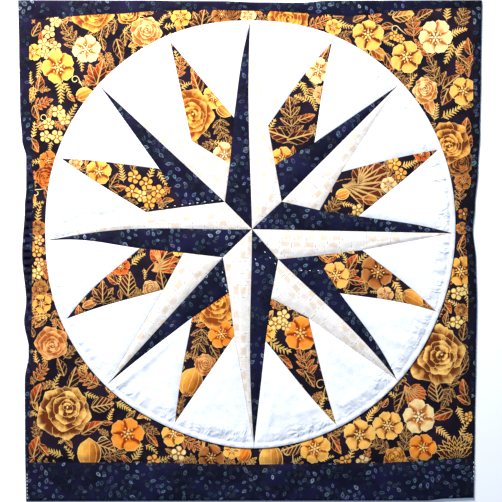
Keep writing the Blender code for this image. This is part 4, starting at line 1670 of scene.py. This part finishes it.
@dataclass(frozen=True)
class CottonFinish:
    """Matt woven cotton in one plain colour, and the base of the printed cottons."""

    name: str
    light: Colour
    deep: Colour
    roughness: float = 0.9
    thread: float = 0.42
    thread_depth: float = 0.02
    wrinkle_depth: float = 0.12
    specular: float = 0.12

    def colour(self, draw: Sketch, effects: SharedEffects, fading: Wire) -> Wire:
        """The cloth's colour before its threads and shading."""
        return draw.blend(self.deep, self.light, draw.rise(fading, 0.25, 0.75))

    def crumple(self, draw: Sketch, effects: SharedEffects, wrinkle: Wire) -> Wire:
        """Height of the cloth's wrinkles, in metres."""
        return wrinkle * (self.wrinkle_depth * MM)

    def material(self, effects: SharedEffects) -> Material:
        """The finish as a material.

        Args:
            effects: the shared node groups.

        Returns:
            The new material.
        """
        made = bpy.data.materials.new(self.name)
        made.use_nodes = True
        draw = Sketch(made.node_tree)
        shader = made.node_tree.nodes["Principled BSDF"]
        place = draw.object_place()
        grain = draw.attribute("grain")
        weave = draw.group(effects.weave, grain=grain, thread=self.thread * MM)
        wear = draw.group(effects.wear, place=place)
        colour = self.colour(draw, effects, wear["Fading"])
        tone = draw.join(weave["Tone"], weave["Tone"], weave["Tone"])
        colour = draw.blend(colour, tone, 1.0, "MULTIPLY")
        draw.feed(shader.inputs["Base Color"], colour)
        shader.inputs["Roughness"].default_value = self.roughness
        shader.inputs["Specular IOR Level"].default_value = self.specular
        height = weave["Height"] * (self.thread_depth * MM)
        height = height + self.crumple(draw, effects, wear["Wrinkle"])
        bump = draw.node("ShaderNodeBump")
        bump.inputs["Strength"].default_value = 1.0
        bump.inputs["Distance"].default_value = 1.0
        draw.feed(bump.inputs["Height"], height)
        made.node_tree.links.new(bump.outputs[0], shader.inputs["Normal"])
        made.diffuse_color = (*self.light, 1.0)
        return made


@dataclass(frozen=True)
class GatheredFinish(CottonFinish):
    """Cotton that is drawn in along the round panel's hem."""

    gather_depth: float = 1.9

    def crumple(self, draw: Sketch, effects: SharedEffects, wrinkle: Wire) -> Wire:
        """Height of the wrinkles and of the gathers at the hem, in metres."""
        gathers = draw.group(effects.gathers, way=draw.attribute("place"),
                             place=draw.object_place())
        return (super().crumple(draw, effects, wrinkle)
                + gathers["Height"] * (self.gather_depth * MM))


@dataclass(frozen=True)
class PrintedFinish(CottonFinish):
    """Cotton printed with shapes that the mesh keeps at its corners."""

    vein: Colour = linear(232, 186, 112)
    mottle: float = 26.0
    # Tint multiplied into the ground as painted light towards the upper left, where the key light
    # falls strongest
    faded: Colour = (1.0, 1.0, 1.0)
    # Tint multiplied into the ground as painted shade on the right side strip, where the light
    # falls off
    fresh: Colour = (1.0, 1.0, 1.0)

    def colour(self, draw: Sketch, effects: SharedEffects, fading: Wire) -> Wire:
        """The print over its mottled ground.

        Args:
            draw: the material's node tree.
            effects: the shared node groups.
            fading: the cloth's fading, from 0 to 1; not used.

        Returns:
            The cloth's colour.
        """
        place = draw.object_place()
        paint = draw.group(effects.paint, seat=draw.attribute("place"), place=place,
                           light=draw.attribute("light", "Color"),
                           deep=draw.attribute("deep", "Color"), vein=self.vein)
        cloud = draw.noise(place, self.mottle, 3.0, 0.6)
        ground = draw.blend(self.deep, self.light, draw.rise(cloud, 0.38, 0.66))
        across, up, _ = draw.split(place)
        # Painted light: the ground is lightened and tinted towards the upper left, where the key
        # light is strongest
        painted_light_share = draw.rise(up * 0.6 - across, -0.1, 0.42)
        ground = draw.blend(ground, draw.blend(ground, self.faded, 1.0, "MULTIPLY"), painted_light_share)
        # Painted shade: the ground is darkened on the right side strip, where the light falls off
        painted_shade_share = draw.rise(across, 0.25, 0.295)
        ground = draw.blend(ground, draw.blend(ground, self.fresh, 1.0, "MULTIPLY"), painted_shade_share)
        return draw.blend(ground, paint["Color"], paint["Printed"])


@dataclass(frozen=True)
class PlaidFinish(CottonFinish):
    """Cream cotton with a faint plaid of beige blocks and fine broken grey lines."""

    block: Colour = linear(214, 186, 152)
    dash: Colour = linear(132, 116, 112)
    pitch_along: float = 16.0
    pitch_across: float = 9.6

    def colour(self, draw: Sketch, effects: SharedEffects, fading: Wire) -> Wire:
        """Blocks set between the lines of the plaid, each of its own strength.

        Args:
            draw: the material's node tree.
            effects: the shared node groups.
            fading: the cloth's fading, from 0 to 1.

        Returns:
            The cloth's colour.
        """
        base = super().colour(draw, effects, fading)
        along, across, _ = draw.split(draw.attribute("grain"))
        column = along / (self.pitch_along * MM)
        row = across / (self.pitch_across * MM) + 0.5
        row_index = math.floor(row)
        column = column + draw.chance(draw.join(row_index, 7.0)) * 0.6
        strength = draw.chance(draw.join(math.floor(column), row_index, 3.0))
        ragged = (draw.noise(draw.attribute("grain"), 220.0, 3.0) - 0.5) * 0.5
        from_middle = abs(column.fraction() - 0.5) + ragged
        from_row = abs(row.fraction() - 0.5) + ragged
        block = 1.0 - draw.rise(from_middle, 0.2, 0.46)
        block = block * (1.0 - draw.rise(from_row, 0.22, 0.5))
        block = block * (draw.rise(strength, 0.2, 0.8) * 0.55 + 0.08)
        colour = draw.blend(base, self.block, block)
        line = 1.0 - draw.rise(abs(column.fraction() - 0.02), 0.012, 0.035)
        broken = draw.rise(draw.noise(draw.attribute("grain"), 260.0, 1.0), 0.5, 0.58)
        return draw.blend(colour, self.dash, line * broken * 0.9)


FLOWER_COTTON = PrintedFinish("flowered_cotton", linear(34, 20, 36), linear(16, 10, 22),
                              0.88, specular=0.14)
# The leaf print's ground carries painted light at the upper left and painted shade on the right
# strip
LEAF_COTTON = PrintedFinish("leaf_print_cotton", linear(21, 21, 54), linear(10, 11, 31),
                            0.88, specular=0.12, vein=linear(150, 170, 200),
                            faded=(1.75, 1.1, 1.05), fresh=(0.62, 0.55, 0.4))
PLAID_COTTON = PlaidFinish("cream_plaid_cotton", linear(238, 233, 227), linear(231, 225, 217))
WHITE_COTTON = GatheredFinish("white_cotton", linear(248, 249, 252), linear(242, 244, 249),
                              wrinkle_depth=0.3)
BACK_COTTON = CottonFinish("plain_back_cotton", linear(176, 170, 150), linear(164, 158, 138))
THREAD_COTTON = CottonFinish("white_thread", linear(252, 252, 255), linear(240, 240, 248),
                             thread=0.2, wrinkle_depth=0.0)
FLOOR_PAPER = PaperFinish("white_floor", linear(250, 250, 250), 0.12)


class Fabric(Enum):
    """The cottons that the quilt is cut from, each with its finish and its material slot."""

    FLOWERS = (FLOWER_COTTON, "floral_print")
    LEAVES = (LEAF_COTTON, "leaf_print")
    PLAID = (PLAID_COTTON, "star_patches")
    WHITE = (WHITE_COTTON, "star_patches")
    BACK = (BACK_COTTON, "star_patches")
    THREAD = (THREAD_COTTON, "star_patches")

    def __init__(self, finish: CottonFinish, slot: str) -> None:
        """Keep both under their names."""
        self.finish = finish
        self.slot = slot


@dataclass
class FabricShelf:
    """One material for each cotton, made when it is first wanted."""

    effects: SharedEffects
    made: dict[Fabric, Material] = field(default_factory=dict)

    def take(self, fabric: Fabric) -> Material:
        """The material of a cotton."""
        if fabric not in self.made:
            self.made[fabric] = fabric.finish.material(self.effects)
        return self.made[fabric]


@dataclass
class Workroom:
    """What every part of the quilt is made with."""

    shelf: FabricShelf
    relief: Relief
    rim: RimLine
    print_shapes: list[PrintedShape]

    def put_on(self, piece: Piece, fabric: Fabric, node: str) -> None:
        """Put a piece on the quilt's body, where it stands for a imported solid."""
        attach(piece, BODY)
        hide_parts(node)

    def sew(self, name: str, fabric: Fabric, node: str, rests_on: Sequence[str],
            ring: Array, surface: Surface, floor: float,
            shapes: Sequence[PrintedShape] = (), pitch: float = 2.1,
            loose: Array | None = None, grain: float = 0.0,
            **fields: object) -> Piece:
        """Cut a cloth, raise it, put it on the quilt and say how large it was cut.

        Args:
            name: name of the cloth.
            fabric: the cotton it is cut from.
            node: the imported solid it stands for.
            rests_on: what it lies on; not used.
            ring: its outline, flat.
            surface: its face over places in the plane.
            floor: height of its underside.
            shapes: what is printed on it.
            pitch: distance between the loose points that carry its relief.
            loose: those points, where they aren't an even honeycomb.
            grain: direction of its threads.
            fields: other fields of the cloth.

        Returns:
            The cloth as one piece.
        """
        finish = fabric.finish
        cut = cut_cloth(ring, shapes, pitch, loose)
        piece = Cloth(name, cut, shapes, grain, (finish.light, finish.deep), surface, floor,
                      **fields).build(self.shelf.take(fabric))
        self.put_on(piece, fabric, node)
        width, length = flat_size(ring)
        abs(ring_area(ring)) * MM * MM
        LOG.info("%s: %d faces, cut %.0f by %.0f mm", name, len(piece.data.polygons), width,
                 length)
        return piece


def flat_size(ring: Array) -> tuple[float, float]:
    """Width and length of the smallest rectangle that a flat cut fits in."""
    sizes = [sorted(np.ptp(turned_by(ring, -math.radians(turn)), axis=0).tolist())
             for turn in np.arange(0.0, 90.0, 1.5)]
    return tuple(min(sizes, key=math.prod))


def drawn_in(ring: Array, inset: float) -> Array:
    """An anticlockwise ring moved in by an even distance."""
    before = ring - np.roll(ring, 1, axis=0)
    after = np.roll(ring, -1, axis=0) - ring
    return ring + left_of(unit(unit(before) + unit(after))) * inset


def raised(places: Array, heights: Array) -> Array:
    """Places in the plane lifted to their heights."""
    return np.column_stack((places, heights))


@dataclass(frozen=True)
class Patch:
    """One patch of the star: its corners in order, its cotton and how its threads run."""

    name: str
    corners: tuple[str, ...]
    fabric: Fabric
    grain: float
    seed: int = 0


@dataclass
class CompassStar:
    """The round panel: forty patches that meet at sunk seams, hemmed at the rim."""

    room: Workroom
    step: float = 2.4
    seam_width: float = 0.26
    floor: float = 3.35
    corners: dict[str, Array] = field(default_factory=dict)

    def __post_init__(self) -> None:
        """Name every corner of the star."""
        self.corners["heart"] = np.array(STAR_HEART)
        for name, tip in TIPS.items():
            self.corners[name] = np.array(tip)
        for name, root in ROOTS.items():
            self.corners["root_" + name] = np.array(root)
        for name, (_, _, _, *places) in KITES.items():
            for corner, place in zip(("heart", "left", "right", "tip"), places):
                self.corners[f"{name}_{corner}"] = np.array(place)
        for name in [*TIPS, *(kite + "_tip" for kite in KITES)]:
            angle = float(self.room.rim.angle(self.corners[name])[0])
            self.corners["beyond_" + name] = self.room.rim.arc(angle, angle + 0.01, 0.0, 9.0)[0]

    def seam(self, start: str, end: str) -> Array:
        """The seam between two corners, bowed where it was sewn so.

        Args:
            start: name of one corner.
            end: name of the other.

        Returns:
            Points along the seam.
        """
        if (end, start) in BOWS:
            return self.seam(end, start)[::-1]
        first, last = self.corners[start], self.corners[end]
        along = last - first
        length = float(np.hypot(*along))
        share = np.linspace(0.0, 1.0, max(2, round(length / self.step)) + 1)[:, None]
        across = np.array((-along[1], along[0])) / length
        bow = BOWS.get((start, end), 0.0) * np.sin(math.pi * share ** FULLEST)
        return first + along * share + across * bow

    def rim_stretch(self, start: str, end: str) -> Array:
        """The rim from one point on it to the next.

        Args:
            start: name of one corner.
            end: name of the other.

        Returns:
            Points along the rim.
        """
        first, last = (float(self.room.rim.angle(self.corners[name])[0]) for name in (start, end))
        turn = (last - first + math.pi) % (2.0 * math.pi) - math.pi
        if turn < 0.0:
            return self.room.rim.arc(last, last - turn, 0.0, self.step)[::-1]
        return self.room.rim.arc(first, first + turn, 0.0, self.step)

    def outline(self, patch: Patch) -> tuple[Array, list[Array]]:
        """A patch's outline, anticlockwise, and its seams.

        Args:
            patch: the patch.

        Returns:
            Its outline, and each seam as a line.
        """
        stretches, seams = [], []
        for start, end in zip(patch.corners, patch.corners[1:] + patch.corners[:1]):
            if start.startswith("beyond") and end.startswith("beyond"):
                line = self.rim_stretch(start, end)
            else:
                line = self.seam(start, end)
                seams.append(line)
            stretches.append(line[:-1])
        ring = np.concatenate(stretches)
        ring = ring if ring_area(ring) > 0.0 else ring[::-1]
        return drawn_in(ring, self.seam_width / 2.0), seams

    def bearing(self, name: str) -> float:
        """Direction of a corner from the star's heart."""
        place = self.corners[name] - self.corners["heart"]
        return math.atan2(place[1], place[0])

    def patches(self) -> list[Patch]:
        """Every patch of the star.

        Returns:
            The patches in the order of sewing.
        """
        made = []
        right_of = {right: name for name, (_, right, *_) in KITES.items()}
        left_of = {left: name for name, (left, *_) in KITES.items()}
        for index, tip in enumerate(TIPS):
            before, after = right_of[tip], left_of[tip]
            turn = self.bearing(tip)
            navy_side = (before + "_heart", before + "_right", tip)
            cream_side = (tip, after + "_left", after + "_heart")
            if tip in ROOTS:
                navy = ("root_" + tip, *navy_side)
                cream = ("root_" + tip, *cream_side)
            else:
                navy = ("heart", "root_" + KITES[before][2], *navy_side)
                cream = ("heart", *cream_side, "root_" + KITES[after][2])
            made.append(Patch("navy_half_" + tip, navy, Fabric.LEAVES, turn, 40 + index))
            made.append(Patch("cream_half_" + tip, cream, Fabric.PLAID, turn))
        for name, (left, right, *_) in KITES.items():
            heart, side_left, side_right, tip = (
                f"{name}_{corner}" for corner in ("heart", "left", "right", "tip"))
            turn = self.bearing(tip)
            made.append(Patch("flower_kite_" + name, (heart, side_left, tip, side_right),
                              Fabric.FLOWERS, turn))
            made.append(Patch("white_wedge_" + name + "_left",
                              (side_left, left, "beyond_" + left, "beyond_" + tip, tip),
                              Fabric.WHITE, turn))
            made.append(Patch("white_wedge_" + name + "_right",
                              (side_right, tip, "beyond_" + tip, "beyond_" + right, right),
                              Fabric.WHITE, turn))
        return made

    def face(self, places: Array) -> Array:
        """The panel's face over places in the plane, in millimetres.

        Args:
            places: points in the plane, a row each.

        Returns:
            The raised points, a row each.
        """
        nearest = np.full(len(places), np.inf)
        for patch in self.patches():
            for seam in self.outline(patch)[1]:
                nearest = np.minimum(nearest, distance_to(places, seam))
        return raised(places, self.room.relief.panel(places, nearest))

    def sew(self, patch: Patch) -> Piece:
        """Sew one patch.

        Args:
            patch: the patch.

        Returns:
            The patch in the scene.
        """
        ring, seams = self.outline(patch)
        shapes: list[PrintedShape] = []
        if patch.fabric is Fabric.LEAVES:
            shapes = LeafPrint().scattered(ring, patch.seed)
        elif patch.fabric is Fabric.FLOWERS:
            shapes = self.room.print_shapes

        def surface(places: Array) -> Array:
            """The patch's face."""
            nearest = np.min([distance_to(places, seam) for seam in seams], axis=0)
            return raised(places, self.room.relief.panel(places, nearest))

        def rim_way(places: Array) -> Array:
            """How far places lie along the rim and in from it."""
            rim = self.room.rim
            turn = (rim.angle(places) - patch.grain + math.pi) % (2.0 * math.pi) - math.pi
            return np.column_stack((turn * rim.around, rim.inward(places)))

        return self.room.sew(patch.name, patch.fabric, "compass_panel", ("flowered_square",), ring,
                             surface, self.floor, shapes, grain=patch.grain,
                             way=rim_way if patch.fabric is Fabric.WHITE else None)

    def build(self) -> list[Piece]:
        """Sew every patch."""
        return [self.sew(patch) for patch in self.patches()]


@dataclass
class FlowerSquare:
    """The flowered square behind the star, which shows in the four corners."""

    room: Workroom
    gap: float = 0.3
    floor: float = 0.6
    step: float = 2.1
    shown: float = 2.8
    coarse: float = 26.0
    hidden: float = 11.0

    def outline(self) -> Array:
        """The square's outline within the side strips' seams, anticlockwise.

        Returns:
            A ring of points, a row each.
        """
        half = self.gap / 2.0
        low_left, low_right = (half - SEAMS["bottom"][end][1] for end in (0, -1))
        top_left, top_right = (SEAMS["top"][end][1] - half for end in (0, -1))

        def line(side: str, start: float, end: float) -> Array:
            """One side from a place along it to another, without its last point."""
            count = round(abs(end - start) / self.step)
            places = np.linspace(start, end, count + 1)[:-1]
            return place_on(side, places, eased(SEAMS[side], places) - half)

        corner_x = [sign * (float(eased(SEAMS[side], np.array([y]))[0]) - half)
                    for sign, side, y in ((-1.0, "left", low_left), (1.0, "right", low_right),
                                          (1.0, "right", top_right), (-1.0, "left", top_left))]
        return np.concatenate((line("bottom", corner_x[0], corner_x[1]),
                               line("right", low_right, top_right),
                               line("top", corner_x[2], corner_x[3]),
                               line("left", top_left, low_left)))

    def loose_points(self, ring: Array) -> Array:
        """Points that carry the relief: dense where the cloth shows, few under the star.

        Args:
            ring: the square's outline.

        Returns:
            The points, a row each.
        """
        made = [self.room.rim.arc(0.0, 2.0 * math.pi, 0.6, 2.0)[:-1]]
        for pitch, under in ((self.shown, False), (self.coarse, True)):
            points = honeycomb(ring, pitch)
            made.append(points[(self.room.rim.inward(points) > self.hidden) == under])
        return np.concatenate(made[1:] + made[:1])

    def build(self) -> Piece:
        """Cut the square and raise it.

        Returns:
            The square in the scene.
        """
        ring = self.outline()
        shapes = [shape for shape in self.room.print_shapes
                  if self.room.rim.inward(shape.ring).min() < 5.0]

        def surface(places: Array) -> Array:
            """The square's face."""
            return raised(places, self.room.relief.square(
                places, distance_to(places, ring, closed=True)))

        return self.room.sew("flowered_square", Fabric.FLOWERS, "floral_ground", ("plain_back",),
                             ring, surface, self.floor, shapes, loose=self.loose_points(ring))


def place_on(side: str, along: Array, out: Array) -> Array:
    """Places in the plane from how far along a side they are and how far out."""
    ways = {"left": (-out, along), "right": (out, along), "top": (along, out),
            "bottom": (along, -out)}
    return np.stack(ways[side], axis=-1)


@dataclass
class SideStrip:
    """One strip of leaf print, sewn to the square and folded over the quilt's edge."""

    room: Workroom
    side: str
    hem: float
    seed: int
    ripple: float = 0.0
    ripple_from: float = -107.0
    ripple_to: float = 134.0
    ripple_length: float = 11.0
    drop: float = 1.0
    turn_radius: float = 0.4
    floor: float = 0.35
    gap: float = 0.3
    step: float = 2.0
    pitch: float = 2.1

    @property
    def turned(self) -> float:
        """How far beyond the fold the cloth lies flat again."""
        return self.drop + self.turn_radius * math.pi / 2.0

    @property
    def cut_edge(self) -> float:
        """How far beyond the fold the cloth ends."""
        return self.turned + self.hem - self.turn_radius

    def split(self, places: Array) -> tuple[Array, Array]:
        """How far along the side each place is, and how far out."""
        ways = {"left": (1, 0, -1.0), "right": (1, 0, 1.0), "top": (0, 1, 1.0),
                "bottom": (0, 1, -1.0)}
        along, across, sign = ways[self.side]
        return places[:, along], sign * places[:, across]

    def limits(self, out: Array) -> tuple[Array, Array]:
        """Where the strip starts and ends along its side, at distances out.

        Args:
            out: distances out from the middle.

        Returns:
            Where the strip starts, and where it ends.
        """
        half = self.gap / 2.0
        if self.side == "top":
            return half - eased(SEAMS["left"], out), eased(SEAMS["right"], out) - half
        if self.side == "bottom":
            return -eased(FOLDS["left"], -out), eased(FOLDS["right"], -out)
        corner = SEAMS["bottom"][0 if self.side == "left" else -1][1]
        return np.full(len(out), half - corner), np.full(len(out), FOLDS[self.side][-1][0])

    def ends(self, places: Array) -> tuple[Array, Array]:
        """Distance of each place from the strip's sewn ends and from its free ends.

        Args:
            places: points in the plane, a row each.

        Returns:
            Distance from the sewn ends, and from the free ones.
        """
        along, out = self.split(places)
        start, end = self.limits(np.minimum(out, self.fold(along)))
        far = np.full(len(places), 1e3)
        if self.side == "top":
            return np.minimum(along - start, end - along), far
        if self.side == "bottom":
            return far, np.minimum(along - start, end - along)
        return along - start, end - along

    def fold(self, along: Array) -> Array:
        """How far out the fold is."""
        return eased(FOLDS[self.side], along)

    def seam(self, along: Array) -> Array:
        """How far out the strip's own edge of the seam is."""
        return eased(SEAMS[self.side], along) + self.gap / 2.0

    def surface(self, places: Array) -> Array:
        """The strip's outer face: over the top, round the edge and under it.

        Args:
            places: points on the flat strip, a row each.

        Returns:
            The raised points, a row each.
        """
        along, out = self.split(places)
        fold = self.fold(along)
        beyond = out - fold
        sewn, free = (np.maximum(each, 0.0) for each in self.ends(places))
        seams = np.minimum(np.maximum(out - self.seam(along), 0.0), sewn)
        folds = np.minimum(np.maximum(-beyond, 0.0), free)
        window = np.clip((along - self.ripple_from) / 40.0, 0.0, 1.0)
        window *= np.clip((self.ripple_to - along) / 40.0, 0.0, 1.0)
        wave = np.sin(along * 2.0 * math.pi / self.ripple_length + 1.6 * np.sin(along / 23.0))
        uneven = self.ripple * window * wave
        height = self.room.relief.strip(places, seams, folds, uneven)
        turn = np.clip((beyond - self.drop) / self.turn_radius, 0.0, math.pi / 2.0)
        under = np.maximum(beyond - self.turned, 0.0)
        round_edge = self.turn_radius * (1.0 - np.sin(turn))
        outward = np.where(beyond > 0.0, fold - self.turn_radius * (1.0 - np.cos(turn)) - under,
                           out)
        edge = self.room.relief.fold
        side_height = np.where(beyond < self.drop, edge - np.clip(
            beyond / self.drop, 0.0, 1.0) * (edge - self.turn_radius), round_edge)
        return raised(place_on(self.side, along, outward),
                      np.where(beyond > 0.0, side_height, height))

    def outline(self) -> Array:
        """The strip's flat outline, anticlockwise.

        Returns:
            A ring of points, a row each.
        """
        low, high = (float(self.limits(np.array([SEAMS[self.side][end][1]]))[end][0])
                     for end in (0, -1))
        count = round((high - low) / self.step)
        along = np.linspace(low, high, count + 1)
        inner = place_on(self.side, along, self.seam(along))
        reach = self.fold(np.array([low, high])) + self.cut_edge
        first = self.end_line(0, float(self.seam(along[:1])[0]), float(reach[0]))
        last = self.end_line(1, float(self.seam(along[-1:])[0]), float(reach[1]))
        edge_along = np.linspace(self.split(first[-1:])[0][0], self.split(last[-1:])[0][0],
                                 count + 1)
        outer = place_on(self.side, edge_along, self.fold(edge_along) + self.cut_edge)
        ring = np.concatenate((inner, last[1:-1], outer[::-1], first[1:-1][::-1]))
        return ring if ring_area(ring) > 0.0 else ring[::-1]

    def end_line(self, end: int, start_out: float, reach: float) -> Array:
        """One end of the strip, from its seam to the cut edge."""
        out = np.linspace(start_out, reach, max(3, round((reach - start_out) / 1.5)) + 1)
        fold_limit = self.fold(np.array([self.limits(np.array([start_out]))[end][0]]))[0]
        along = self.limits(np.minimum(out, fold_limit))[end]
        return place_on(self.side, along, out)

    def loose_points(self, ring: Array) -> Array:
        """Points for the relief, with close rows round the fold.

        Args:
            ring: the strip's outline.

        Returns:
            The points, a row each.
        """
        points = honeycomb(ring, self.pitch)
        along, out = self.split(points)
        beyond = out - self.fold(along)
        points = points[(beyond < -4.6) | (beyond > self.turned + 1.6)]
        ends = self.split(ring)[0]
        stations = np.arange(ends.min() + 1.0, ends.max() - 1.0, 1.6)
        quarter = self.turn_radius * math.pi / 2.0
        rows = [-4.2, -3.3, -2.5, -1.8, -1.2, -0.7, -0.3, 0.0, 0.5, self.drop,
                *(self.drop + quarter * share for share in (0.33, 0.67, 1.0)), self.turned + 0.8]
        lines = [place_on(self.side, stations, self.fold(stations) + row) for row in rows]
        return np.concatenate((points, *lines))

    def build(self) -> Piece:
        """Cut the strip, fold it and lay it down.

        Returns:
            The strip in the scene.
        """
        ring = self.outline()
        return self.room.sew("leaf_strip_" + self.side, Fabric.LEAVES, "border_" + self.side,
                             ("plain_back", "flowered_square"), ring, self.surface, self.floor,
                             LeafPrint().scattered(ring, self.seed), 0.6,
                             self.loose_points(ring),
                             math.pi / 2.0 if self.side in ("left", "right") else 0.0,
                             tuck=0.0, probe=0.05)


@dataclass
class PlainBack:
    """The plain cotton that closes the quilt below, inside the strips' hems."""

    room: Workroom
    strips: dict[str, SideStrip]
    clearance: float = 0.3
    lower: float = 0.02
    upper: float = 0.3
    pitch: float = 12.0

    def build(self) -> Piece:
        """Cut the back and lay it down.

        Returns:
            The back in the scene.
        """
        lines = []
        for side, start, end in (("bottom", -1.0, 1.0), ("right", -1.0, 1.0), ("top", 1.0, -1.0),
                                 ("left", 1.0, -1.0)):
            strip = self.strips[side]
            reach = 318.0 if side in ("left", "right") else 296.0
            places = np.linspace(start * reach, end * reach, 50)
            out = strip.fold(places) - strip.hem - self.clearance
            lines.append(place_on(side, places, out))
        ring = np.concatenate(lines)

        def surface(places: Array) -> Array:
            """The back's upper face."""
            return raised(places, np.full(len(places), self.upper))

        return self.room.sew("plain_back", Fabric.BACK, "floral_ground", ("floor",), ring,
                             surface, self.lower, pitch=self.pitch, tuck=0.0)


@dataclass
class HandStitches:
    """Rows of short white stitches that hold the layers together."""

    room: Workroom
    length: float = 2.4
    width: float = 0.85
    height: float = 0.55
    sunk: float = 0.02
    strips_from: float = 280.0

    def capsule(self, middle: Array, turn: float) -> tuple[Array, list[tuple]]:
        """One stitch: a short rounded bar lying along its row.

        Args:
            middle: middle of the stitch.
            turn: its bearing in radians.

        Returns:
            Its points and its faces.
        """
        rings, sides = 7, 8
        shares = np.linspace(-1.0, 1.0, rings)
        half = np.sqrt(np.maximum(1.0 - shares ** 4, 0.02))
        angles = np.arange(sides) / sides * 2.0 * math.pi
        points = np.array([(share * self.length / 2.0,
                            math.cos(angle) * size * self.width / 2.0,
                            math.sin(angle) * size * self.height / 2.0)
                           for share, size in zip(shares, half) for angle in angles])
        points[:, :2] = turned_by(points[:, :2], turn)
        faces = [((row + 1) * sides + side, (row + 1) * sides + (side + 1) % sides,
                  row * sides + (side + 1) % sides, row * sides + side)
                 for row in range(rings - 1) for side in range(sides)]
        last = rings * sides - 1
        faces += [tuple(range(sides)), tuple(range(last, last - sides, -1))]
        return points + middle, faces

    def row(self, name: str, start: Row, end: Row, count: int, surface: Surface,
            node: str) -> Piece:
        """One row of stitches on a face.

        Args:
            name: name of the row.
            start: place of the first stitch.
            end: place of the last.
            count: how many there are.
            surface: the face they lie on.
            node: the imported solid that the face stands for.

        Returns:
            The row as one piece.
        """
        first, last = np.array(start, dtype=float), np.array(end, dtype=float)
        turn = math.atan2(last[1] - first[1], last[0] - first[0])
        shares = np.linspace(0.0, 1.0, count) if count > 1 else np.zeros(1)
        middles = surface(first + (last - first) * shares[:, None])
        points, faces = [], []
        for index, middle in enumerate(middles):
            middle = middle + (0.0, 0.0, self.height * 0.5 - self.sunk)
            wobble = 0.12 * math.sin(2.4 * index + 0.7)
            made, made_faces = self.capsule(middle, turn + wobble)
            base = len(points) * len(made)
            points.append(made)
            faces += [tuple(base + corner for corner in face) for face in made_faces]
        mesh = bpy.data.meshes.new(name)
        mesh.from_pydata((np.concatenate(points) * MM).tolist(), [], faces)
        mesh.shade_smooth()
        grain = mesh.uv_layers.new(name="grain")
        for loop, uv in zip(mesh.loops, grain.data):
            uv.uv = mesh.vertices[loop.vertex_index].co.xy
        mesh.materials.append(self.room.shelf.take(Fabric.THREAD))
        piece = in_scene(name, mesh)
        self.room.put_on(piece, Fabric.THREAD, node)
        LOG.info("%s: %d stitches", name, count)
        return piece

    def build(self, star: CompassStar, strips: dict[str, SideStrip]) -> list[Piece]:
        """Sew every row.

        Args:
            star: the pieced panel.
            strips: each strip by its side.

        Returns:
            The rows in the scene.
        """
        made = []
        for index, (start, end, count) in enumerate(STITCH_ROWS, 1):
            if abs(start[0]) > self.strips_from:
                side = ("bottom" if start[1] < -self.strips_from
                        else "left" if start[0] < 0.0 else "right")
                surface, node = strips[side].surface, "border_" + side
            else:
                surface, node = star.face, "compass_panel"
            made.append(self.row(f"stitch_row_{index}", start, end, count, surface, node))
        return made


@dataclass
class Studio:
    """The floor, the light and the camera above."""

    floor_size: float = 9.0
    floor_drop: float = 0.0004
    camera_place: tuple[float, float, float] = (0.00134, -0.0005, 1.583)
    focal_length: float = 85.0
    sensor: float = 36.0
    key_place: tuple[float, float, float] = (-0.42, 0.92, 0.9)
    key_power: float = 34.5
    key_size: float = 0.35
    fill_colour: Colour = (0.52, 0.84, 1.42)
    fill_strength: float = 0.27

    def floor(self) -> Piece:
        """A pale level floor.

        Returns:
            The floor.
        """
        half = self.floor_size / 2.0
        mesh = bpy.data.meshes.new("floor")
        mesh.from_pydata([(-half, -half, -self.floor_drop), (half, -half, -self.floor_drop),
                          (half, half, -self.floor_drop), (-half, half, -self.floor_drop)], [],
                         [(0, 1, 2, 3)])
        mesh.uv_layers.new(name="grain")
        mesh.materials.append(FLOOR_PAPER.material())
        piece = in_scene("floor", mesh)
        return piece

    def key(self) -> Piece:
        """The window-like light from the upper left.

        Returns:
            The light.
        """
        lamp = bpy.data.lights.new("key", "AREA")
        lamp.energy = self.key_power
        lamp.shape = "SQUARE"
        lamp.size = self.key_size
        lamp.color = (1.0, 0.97, 0.92)
        light = in_scene("key", lamp)
        light.location = self.key_place
        light.rotation_euler = (-light.location).to_track_quat("-Z", "Y").to_euler()
        return light

    def fill(self) -> None:
        """Even bluish light from all round."""
        world = bpy.data.worlds.new("room_light")
        world.use_nodes = True
        background = world.node_tree.nodes["Background"]
        background.inputs["Color"].default_value = (*self.fill_colour, 1.0)
        background.inputs["Strength"].default_value = self.fill_strength
        bpy.context.scene.world = world

    def camera(self) -> Piece:
        """The camera, straight above the quilt.

        Returns:
            The camera.
        """
        lens = bpy.data.cameras.new("camera")
        lens.lens = self.focal_length
        lens.sensor_width = self.sensor
        camera = in_scene("camera", lens)
        camera.location = self.camera_place
        bpy.context.scene.camera = camera
        return camera

    def set_up(self) -> None:
        """Place everything and choose how colours are shown."""
        self.camera()
        self.floor()
        self.key()
        self.fill()
        bpy.context.scene.view_settings.view_transform = "Standard"
        bpy.context.scene.view_settings.look = "None"
        LOG.info("studio: camera at %.3f m", self.camera_place[2])


def main() -> None:
    """Build the quilt, piece by piece, and light it."""
    logging.basicConfig(level=logging.INFO, format="%(name)s: %(message)s")
    effects = SharedEffects.build()
    rim = RimLine()
    room = Workroom(FabricShelf(effects), Relief(rim), rim, flowered_print(rim))
    LOG.info("flowered print: %d shapes", len(room.print_shapes))
    Studio().set_up()
    strips = {"left": SideStrip(room, "left", 2.6, 71, ripple=1.9),
              "right": SideStrip(room, "right", 2.6, 72),
              "top": SideStrip(room, "top", 8.0, 73),
              "bottom": SideStrip(room, "bottom", 12.0, 74)}
    PlainBack(room, strips).build()
    FlowerSquare(room).build()
    for strip in strips.values():
        strip.build()
    star = CompassStar(room)
    star.build()
    HandStitches(room).build(star, strips)


if __name__ == "__main__":
    main()
